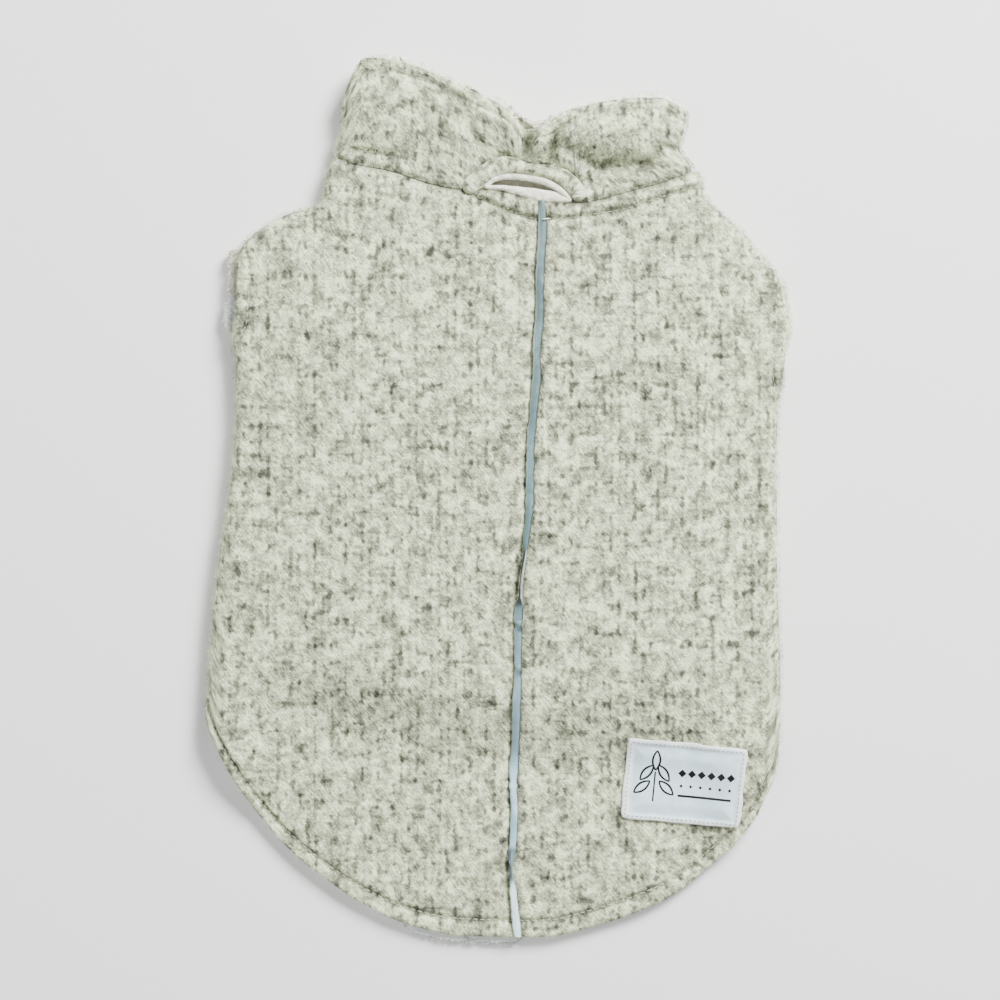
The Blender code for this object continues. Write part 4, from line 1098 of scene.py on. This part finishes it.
ring = collar_grid(61, 150, 16, 90)
roll_out = 2.0 * np.exp(-(((ring[0, :, 0] - 68.0) / 6.0) ** 2))
ring = slide(slide(ring, 1.4 + roll_out, 0), -0.5, -1)
ring = slide(ring, -corner_drop(ring[0, :, 0]), 0, 32.0)
pile = inside_of(ring, ring=True)
smooth = pile
for _ in range(8):
    smooth = 0.5 * smooth + 0.25 * (np.roll(smooth, 1, axis=1) + np.roll(smooth, -1, axis=1))
pile = pile + (smooth - pile) * ramp((5.5 - lengths(pile, 0)) / 4.0)[..., None]
ring_x = np.cumsum(np.r_[0.0, np.linalg.norm(np.diff(ring[30], axis=0), axis=-1)])[::-1]
edge = lengths(pile, 0)
pile_grain = stacked(ring_x, 300.0 - edge)
lumps = pile_relief(pile_grain, 0.6 + 0.5 * ramp(1 - edge / 9.0))
collar_lining = shell("collar_lining_pile", dressed(pile, lumps, ring=True), PILE_THICK, PILE,
                      pile_grain, skip=4, ring=True)
pile_n = normals(pile, ring=True)
draw = np.random.default_rng(85)
i, j = some(draw, (edge < 3.6) & (pile_n[..., 2] > 0.2) & (pile[..., 2] < 12.0), 1200)
spots = pile[i, j] + draw.normal(0, 0.3, (len(i), 3))
ways = pile_n[i, j] * 0.8 + unit(pile[0] - pile[3])[j] * 0.5
curls("collar_curls", spots, ways, 1.2, np.zeros(len(i)), 86)
sewn_in(collar_lining, "pile_lining", "collar_lining")

# ---------------------------------------------------------------------------
# The nap: fine short fibres that the brushing has raised, which show where the
# knit turns away at the hem, the armholes and the collar's edges.
# ---------------------------------------------------------------------------
for name, points, grain, from_hem in (
    ("left", *halves["back_left"][:3]),
    ("right", *halves["back_right"][:3]),
    ("collar", collar, collar_grain, None),
):
    n = normals(points)
    turned = (np.abs(n[..., 2] - 0.25) < 0.5) & (points[..., 2] > 2.0)
    if from_hem is not None:
        turned |= (from_hem < 2.2) & (n[..., 2] > -0.2)
    draw = np.random.default_rng(len(name) + 90)
    i, j = some(draw, turned, 3000)
    spots = points[i, j] + draw.normal(0, 0.25, (len(i), 3)) + n[i, j] * RIM
    curls("nap_" + name, spots, n[i, j] + (0.0, -0.3, 0.0), 1.1, np.full(len(i), -0.2), 95,
          thick=0.065, wind=0.3, steps=4, finish=KNIT, grain=grain[i, j])

# ---------------------------------------------------------------------------
# The leash slit at the back of the neck: a rolled welt of the knit above it,
# and a cream facing rolled round its edge.
# ---------------------------------------------------------------------------
WELT_LINE = np.array([
    # x      y      half its width
    (-15.4, 131.0, 2.6), (-11.9, 133.4, 3.7), (-5.8, 138.2, 3.9), (-0.9, 140.8, 4.0),
    (3.6, 141.6, 3.7), (8.9, 140.6, 3.0), (13.2, 139.6, 2.6), (19.3, 139.1, 2.8),
    (23.0, 138.0, 3.0), (27.2, 136.2, 3.5), (30.9, 132.7, 3.5), (33.3, 129.0, 3.4),
    (33.6, 126.0, 3.0),
])
WELT_TALL, WELT_HEIGHT = 2.3, 12.3       # half its height, and where its middle lies
FACING_LINE = np.array([
    # x      y      half its width: over the slit, then back along its lower lip
    (-6.2, 132.5, 0.9), (-3.2, 135.4, 1.2), (1.2, 136.8, 1.45), (5.4, 137.0, 1.5),
    (14.2, 135.9, 1.5), (21.5, 133.5, 1.4), (26.9, 129.9, 1.2), (29.5, 126.7, 0.9),
    (26.9, 127.0, 1.3), (22.3, 128.1, 2.3), (17.2, 128.8, 2.6), (12.0, 129.8, 2.3),
    (6.6, 130.9, 1.7), (1.4, 131.9, 1.2), (-3.4, 132.2, 1.0),
])
FACING_TALL, FACING_HEIGHT = 1.3, 12.4   # the same of the facing


def rolled(name, path, wide, tall, finish, bumps, closed=False, sides=32):
    """A roll of cloth: flattened circles across a path, wide and tall their half sizes,
    with bumps as a function of the distance along and round."""
    looped = np.concatenate([path[-1:], path, path[:1]]) if closed else path
    run = unit(np.gradient(looped, axis=0)[1:-1] if closed else np.gradient(path, axis=0))
    side = unit(np.cross(run, (0.0, 0.0, 1.0)))
    up = np.cross(side, run)
    angle = np.linspace(0, 2 * math.pi, sides, endpoint=False)[None]
    far = np.cumsum(np.r_[0.0, np.linalg.norm(np.diff(path, axis=0), axis=-1)])[:, None]
    bump = bumps(far, angle * 3.0)
    skin = (path[:, None] + side[:, None] * (np.cos(angle) * (wide[:, None] + bump))[..., None]
            + up[:, None] * (np.sin(angle) * (tall[:, None] + bump))[..., None])
    number = np.arange(len(path) * sides).reshape(-1, sides)
    faces = cells(np.concatenate([number, number[:1]]) if closed else number, True)
    if not closed:
        faces += [number[0].tolist(), number[-1].tolist()]
    marks = stacked(far + 500.0, angle * 3.0, 0.0).reshape(-1, 3)
    return made(name, skin.reshape(-1, 3), faces, finish, marks)


ends = np.linspace(0, 1, 130)
rows = line(WELT_LINE, ends)
taper = np.sqrt(np.clip(np.minimum(ends, 1 - ends) * 30, 0.03, 1))
path = np.column_stack([rows[:, :2], WELT_HEIGHT + 0.5 * np.sin(math.pi * ends)])
welt = rolled("slit_welt_roll", path, rows[:, 2] * taper, WELT_TALL * taper, KNIT,
              lambda far, round_it: 0.6 * knit_relief(far, round_it)
              + 0.22 * mottle(far, round_it * 0.6, 3.4, 51))
sewn_in(welt, "knit_fleece", "slit_welt")

rows = line(np.concatenate([FACING_LINE, FACING_LINE[:1]]), np.linspace(0, 1, 241))[:-1]
path = np.column_stack([rows[:, :2], np.full(len(rows), FACING_HEIGHT)])
facing = rolled("slit_facing_roll", path, rows[:, 2], np.full(len(rows), FACING_TALL), PILE,
                lambda far, round_it: 0.13 * mottle(far, round_it * 0.6, 1.6, 52),
                closed=True, sides=20)
sewn_in(facing, "pile_lining", "slit_facing")

# ---------------------------------------------------------------------------
# The piping: a flat woven tape with a grey sheen, folded double and caught in
# the middle seam; it twists in two places on its way down.
# ---------------------------------------------------------------------------
PIPING_THICK = 0.9
PIPING_WIDTH = np.array([
    # y      half
    (-184.0, 1.7), (-163.0, 1.55), (-155.0, 1.2), (-148.0, 1.5), (-110.0, 1.75), (-60.0, 1.7),
    (-40.0, 1.55), (-24.0, 1.3), (-16.0, 1.55), (0.0, 1.7), (60.0, 1.75), (112.0, 1.8),
    (123.0, 1.6), (126.6, 0.9),
])
PIPING_TURN = np.array([
    # y      turn about its own length
    (-184.0, -0.15), (-166.0, -0.3), (-161.0, -0.9), (-157.0, -1.35), (-152.5, -0.6),
    (-147.0, 0.25), (-138.0, 0.5), (-124.0, -0.25), (-104.0, 0.3), (-86.0, -0.2), (-74.5, 0.15),
    (-71.5, 0.8), (-69.5, 0.0), (-56.0, 0.15), (-53.0, 0.95), (-51.0, 0.1), (-45.0, 0.55),
    (-41.0, 1.25), (-33.0, 1.42), (-27.0, 1.3), (-23.0, 1.05), (-18.0, 0.4), (-6.0, 0.25),
    (14.0, -0.25), (40.0, 0.2), (62.0, -0.3), (84.0, 0.25), (104.0, -0.2), (117.0, 0.05),
    (127.0, 0.0),
])
# Where each tone of the tape starts down the coat, over what length it comes, its colour.
TAPE_TONES = (
    (60.0, 60.0, (0.13, 0.23, 0.24, 1)), (-20.0, 80.0, (0.24, 0.37, 0.42, 1)),
    (-106.0, 9.0, (0.46, 0.72, 0.82, 1)), (-146.0, 3.0, (0.17, 0.27, 0.29, 1)),
    (-161.0, 3.0, (0.80, 0.98, 1.0, 1)),
)


def tape_finish():
    """Grey-green tape with a retroreflective sheen that turns paler and bluer down the
    coat, a dark line along its right edge, partly thread and partly painted shadow, and a
    pale woven one along its left; where it twists on edge, only a pale line shows between
    dark ones, which are painted shade, and at its lower twist a painted shadow lies along
    its left side."""
    tape = Finish("reflective_tape", 0.45, Metallic=0.2)
    across, down, _ = tape.grain()
    weave = (down * 9.0).sine() * 0.5 + (across * 13.0).sine() * 0.5
    grime = tape.noise(tape.vector(across * 1.5, down * 0.4), 0.8, 3.0, 0.6)
    body = (0.115, 0.185, 0.19, 1)
    for start, run, colour in TAPE_TONES:
        body = tape.mix(body, colour, ((start - down) / run).held())
    body = tape.mix(body, (0.26, 0.38, 0.38, 1), ((grime - 0.5) * 2.6).held() * 0.5)
    # A dark line along the right edge: partly thread, partly painted shadow.
    body = tape.mix(body, (0.03, 0.04, 0.04, 1), ((across - 1.2) * 5.0).held() * 0.8)
    body = tape.mix(body, (0.32, 0.40, 0.36, 1), ((-1.15 - across) * 4.0).held() * 0.7)
    # Where the tape stands on edge, painted shade covers its face and only its top edge stays
    # pale.
    on_edge = ((down + 46.0) / 3.0).held() * ((-20.0 - down) / 3.0).held()
    body = tape.mix(body, (0.02, 0.025, 0.03, 1), on_edge * 0.85)
    body = tape.mix(body, (0.33, 0.38, 0.36, 1), ((across - 1.15) * 8.0).held() * on_edge)
    # Painted shadow along the tape's left side where it twists near the hem.
    painted_twist_shadow = ((down + 163.0) / 3.0).held() * ((-147.0 - down) / 3.0).held()
    body = tape.mix(body, (0.04, 0.05, 0.07, 1), ((-0.3 - across) * 3.0).held() * painted_twist_shadow * 0.85)
    return tape.finish(body, weave, 0.00005, 0.7)


left, _, _ = back_grid(LEFT, LEFT_HEM, 701, 3, 1, 1)
right, _, _ = back_grid(RIGHT, RIGHT_HEM, 701, 3, 1, 1)
seam = (left[:, 0] + right[:, 0]) / 2
down = seam[:, 1:2]
half = by_x(PIPING_WIDTH, down)
share = np.linspace(-1, 1, 13)[None]
# Across it: half its width, rippled and with ragged edges, turned about its own length.
ripple = 0.10 * mottle(down, 0.0, 5.0, 61) + 0.12 * mottle(down, 0.0, 1.9, 62)
ragged = 0.16 * mottle(down, np.where(share < 0, 0.0, 40.0), 3.2, 65)
turn = by_x(PIPING_TURN, down) + 0.12 * mottle(down, 0.0, 9.0, 63)
reach = half * (1 + ripple) * share + ragged * share ** 2
x = seam[:, :1] + 0.35 * mottle(down, 0.0, 13.0, 66) + reach * np.cos(turn)
z = seam[:, 2:3] + 1.2 + reach * np.sin(turn) + np.abs(np.sin(turn)) * half * 0.75
z = z + 0.3 * (1 - share ** 2) + 0.1 * mottle(x, down, 2.6, 64)
tape = stacked(x, down, z)
tape_grain = stacked(half * share, down)
piping = shell("piping_tape", tape, PIPING_THICK, tape_finish(), tape_grain, skip=3)
sewn_in(piping, "reflective_tape", "piping")

# ---------------------------------------------------------------------------
# The label: a patch of pale satin, edges turned under and stitched down round
# the rim, a little padded, with a small printed sprig.
# ---------------------------------------------------------------------------
LABEL_THICK, LABEL_ROUND = 0.5, 3.2      # its cloth, and how much of a corner is rounded
LABEL_CORNERS = np.array([
    # x      y
    (54.4, -100.7), (105.0, -105.4), (101.2, -139.4), (51.4, -135.2),
])
LABEL_WIDE, LABEL_TALL = 50.6, 34.4
# Leaves of the printed sprig: middle, and turn in degrees.
LEAVES = ((-16.1, 3.1, 52), (-8.9, 3.4, 128), (-17.7, -3.1, 40), (-7.3, -2.8, 140),
          (-12.5, 8.6, 90))
LEAF_LONG, LEAF_WIDE, LEAF_LINE = 4.2, 1.6, 0.5     # half its sizes, and half its line


def label_finish():
    """Satin: long soft highlights on a fine weave, with a sprig of leaves, a rule and
    two rows of diamonds printed in near black. Places are millimetres from the middle."""
    satin = Finish("label_satin", 0.3, Specular_IOR_Level=0.4, Anisotropic=0.5)
    x, y, _ = satin.grain()

    def leaf(cx, cy, degrees):
        """Outline of a pointed oval turned by degrees."""
        c, s = math.cos(math.radians(degrees)), math.sin(math.radians(degrees))
        along_it = ((x - cx) * c + (y - cy) * s) / LEAF_LONG
        rim = (1.0 - along_it * along_it) * LEAF_WIDE
        gap = abs(abs((y - cy) * c - (x - cx) * s) - rim)
        return ((LEAF_LINE - gap) * 12.0).held() * ((1.06 - abs(along_it)) * 20.0).held()

    def bar(cx, cy, wide, tall, sharp):
        """A straight rule; wide and tall are its half sizes."""
        return ((tall - abs(y - cy)) * 7.0).held() * ((wide - abs(x - cx)) * sharp).held()

    def diamond(cx, cy, size):
        """A filled diamond: its half size less the distances across and down."""
        return ((size - abs(x - cx) - abs(y - cy)) * 6.0).held()

    ink = bar(-12.5, -2.6, 0.40, 6.4, 12.0).at_least(bar(9.2, -5.6, 11.4, 0.6, 7.0))
    for cx, cy, turn in LEAVES:
        ink = ink.at_least(leaf(cx, cy, turn))
    for k in range(6):
        for cy, size in ((4.0, 1.9), (-1.4, 0.9)):
            ink = ink.at_least(diamond(-1.0 + 4.1 * k, cy, size))
    # Painted highlights: soft pale blotches of sheen on the satin.
    painted_sheen = satin.noise(satin.vector(x, y), 0.16, 2.0, 0.6)
    body = satin.mix((0.66, 0.86, 0.95, 1), (0.82, 0.96, 0.99, 1), ((painted_sheen - 0.35) * 2.4).held())
    rim = abs(x * (2 / LABEL_WIDE)).at_least(abs(y * (2 / LABEL_TALL)))
    body = satin.mix(body, (0.96, 0.99, 0.99, 1), ((rim - 0.84) * 12.0).held() * 0.85)
    body = satin.mix(body, (0.004, 0.004, 0.005, 1), ink)
    weave = (x * 22.0 + y * 9.0).sine() * 0.5 + satin.noise(satin.vector(x, y * 2.0), 1.2)
    return satin.finish(body, weave, 0.00004, 0.5)


a, b = np.linspace(0, 1, 133)[None, :], np.linspace(0, 1, 93)[:, None]
da, db = np.minimum(a, 1 - a) * LABEL_WIDE, np.minimum(b, 1 - b) * LABEL_TALL
near = np.minimum(da, db)
# Its rounded corners and wavy rim pull in from the four corners' straight lines.
corner = (1 - np.minimum(da / LABEL_ROUND, 1)) * (1 - np.minimum(db / LABEL_ROUND, 1))
wave = 0.35 * mottle(a * 50.0, b * 34.0, 4.6, 71) * np.exp(-near / 2.0)
ca = (a + (0.5 - a) * (0.028 * corner + wave / LABEL_WIDE * 2))[..., None]
cb = (b + (0.5 - b) * (0.04 * corner + wave / LABEL_TALL * 2))[..., None]
c = LABEL_CORNERS
flat = (1 - cb) * ((1 - ca) * c[0] + ca * c[1]) + cb * ((1 - ca) * c[3] + ca * c[2])
puff = 0.9 * ramp((near - 2.0) / 6.0) + 0.28 * ramp(near / 0.9) * ramp((3.0 - near) / 1.4)
puff += 0.3 * mottle(a * 50.0, b * 34.0, 9.0, 72) * ramp(near / 4.0)
puff += 0.18 * mottle(a * 50.0, b * 34.0, 3.6, 73) * ramp((5.0 - near) / 3.0)
patch = raised(flat, back_height(flat) + 1.15 + puff)
label_grain = stacked((a - 0.5) * LABEL_WIDE, (0.5 - b) * LABEL_TALL)
label = shell("label_patch", patch, LABEL_THICK, label_finish(), label_grain, skip=4)
sewn_in(label, "label_satin", "label")

# ---------------------------------------------------------------------------
# The sewing thread: stitches sunk in the hem, the neck band and the armholes, a
# grey ring of them round the label, a white one across the top of the tape and
# three white tacks at the right end of the slit.
# ---------------------------------------------------------------------------
STITCH_BOW = 0.1                         # how far a stitch's middle stands off the cloth
TOPSTITCH = 3.0, 2.3, 0.22               # pitch, length and radius
FOLD_COLUMN = 154                        # columns from the seam to just round the fold
COAT_THREAD = Finish("coat_thread", 0.8).finish((0.50, 0.53, 0.38, 1))
WHITE_THREAD = Finish("white_thread", 0.6).finish((0.93, 0.95, 0.95, 1))
RIM_THREAD = Finish("label_thread", 0.6).finish((0.38, 0.47, 0.47, 1))


def stitches(name, path, pitch, long, radius, finish, slot):
    """One stitch every pitch along a path: a six-sided thread, bowed up as a parabola
    in the middle and dipping to a point at both ends."""
    far = np.r_[0.0, np.cumsum(np.linalg.norm(np.diff(path, axis=0), axis=-1))]
    at = np.arange(pitch / 2, far[-1], pitch)[:, None] + np.linspace(-0.5, 0.5, 7) * long
    spine = np.stack([np.interp(at, far, path[:, k]) for k in range(3)], -1)
    t = np.linspace(-1, 1, 7)[None]
    spine[..., 2] += (STITCH_BOW + radius) * (1 - t * t) - radius
    girth = (radius * np.sqrt(1.05 - t * t))[..., None, None]
    sewn_in(threads(name, spine, girth, 6, (0.0, 0.0, 1.0), finish), slot)


def contour(points, distance, at):
    """The point of every column where the distance from an edge, which grows down the
    column, reaches a value."""
    k = np.clip((distance >= at).argmax(0), 1, len(points) - 1)
    j = np.arange(points.shape[1])
    t = ((at - distance[k - 1, j]) / (distance[k, j] - distance[k - 1, j]))[:, None]
    return points[k - 1, j] * (1 - t) + points[k, j] * t


def topstitch(name, path):
    """Stitches in the coat's own thread, just above a groove's floor."""
    stitches(name, path + (0, 0, 0.1), *TOPSTITCH, COAT_THREAD, "knit_fleece")


for name, (cloth, _, from_hem, from_edge, open_edge) in halves.items():
    side, count = name[5:], cloth.shape[1]
    from_seam = np.arange(count) if side == "right" else count - np.arange(count)
    on_top = (cloth[-1, :, 2] > TAIL - 2.2) & (from_seam < FOLD_COLUMN)
    topstitch("hem_stitches_" + side, contour(cloth[::-1][:, on_top],
                                              from_hem[::-1][:, on_top], HEM_WIDTH))
    arm = open_edge > 0.93
    # The armhole's rows are turned into columns that run in from its edge.
    edge_first = slice(None, None, -1 if side == "right" else 1)
    topstitch("arm_stitches_" + side, contour(cloth[arm].transpose(1, 0, 2)[edge_first],
                                              from_edge[arm].T[edge_first], ARM_WIDTH))
    band = cloth[:, (abs(cloth[0, :, 0] - 34.0) < 50.0) & on_top]
    topstitch("neck_stitches_" + side,
              contour(band, by_x(BAND_LINE, band[..., 0]) - band[..., 1], 0.0))
top = tape[np.abs(down - 118.7).argmin(), :, 2].max()
over = np.array([(17.0, 118.4, top - 0.6), (18.6, 118.5, top + 0.75), (20.3, 118.7, top + 0.75),
                 (22.2, 119.0, top - 0.6)])
stitches("piping_stitch", over, 5.2, 5.1, 0.24, WHITE_THREAD, "label_satin")
for k, y in enumerate((128.2, 129.7, 131.2)):
    tack = np.array([(30.4 + 0.5 * k, y - 0.3, 14.5), (33.0, y, 14.9),
                     (35.6 + 0.2 * k, y + 0.4, 14.2)])
    stitches("slit_tack_" + str(k + 1), tack, 5.0, 4.9, 0.22, WHITE_THREAD, "label_satin")
rim = np.concatenate([patch[4, 4:-4], patch[4:-4, -5], patch[-5, 4:-4][::-1],
                      patch[4:-4, 4][::-1]])
stitches("label_stitches", rim + (0, 0, 0.1), 1.9, 1.1, 0.19, RIM_THREAD, "label_satin")

# ---------------------------------------------------------------------------
# The scene: a pale floor, soft studio light and a camera straight above.
# ---------------------------------------------------------------------------
VIEW_WIDTH, VIEW_HEIGHT = 0.425, 0.006   # metres across the picture, at that height
LENS, FILM = 110.0, 36.0

floor_mesh = bpy.data.meshes.new("floor")
floor_mesh.from_pydata([(-3, -3, 0), (3, -3, 0), (3, 3, 0), (-3, 3, 0)], [], [(0, 1, 2, 3)])
floor = bpy.data.objects.new("floor", floor_mesh)
bpy.context.scene.collection.objects.link(floor)
floor_mesh.materials.append(Finish("floor_paper", 0.9).finish((0.96, 0.96, 0.96, 1)))
floor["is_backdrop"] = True


def softbox(name, place, size, power):
    """A square area light aimed at the coat."""
    data = bpy.data.lights.new(name, "AREA")
    data.shape, data.size, data.energy = "SQUARE", size, power
    lamp = bpy.data.objects.new(name, data)
    lamp.location = place
    aim = -np.array(place)
    lamp.rotation_euler = (math.atan2(math.hypot(aim[0], aim[1]), -aim[2]), 0.0,
                           math.atan2(aim[0], -aim[1]) + math.pi)
    bpy.context.scene.collection.objects.link(lamp)


softbox("key", (0.85, 1.1, 1.15), 0.7, 100.0)
softbox("fill", (-1.2, -0.3, 1.6), 1.6, 12.0)
world = bpy.data.worlds.new("studio")
world.use_nodes = True
world.node_tree.nodes["Background"].inputs["Color"].default_value = (1.0, 1.0, 1.0, 1.0)
world.node_tree.nodes["Background"].inputs["Strength"].default_value = 0.5
bpy.context.scene.world = world

lens = bpy.data.cameras.new("camera")
lens.lens, lens.sensor_width = LENS, FILM
lens.clip_start, lens.clip_end = 0.1, 10.0
camera = bpy.data.objects.new("camera", lens)
camera.location = (0.0, 0.0, VIEW_WIDTH * LENS / FILM + VIEW_HEIGHT)
bpy.context.scene.collection.objects.link(camera)
bpy.context.scene.camera = camera

low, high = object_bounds()
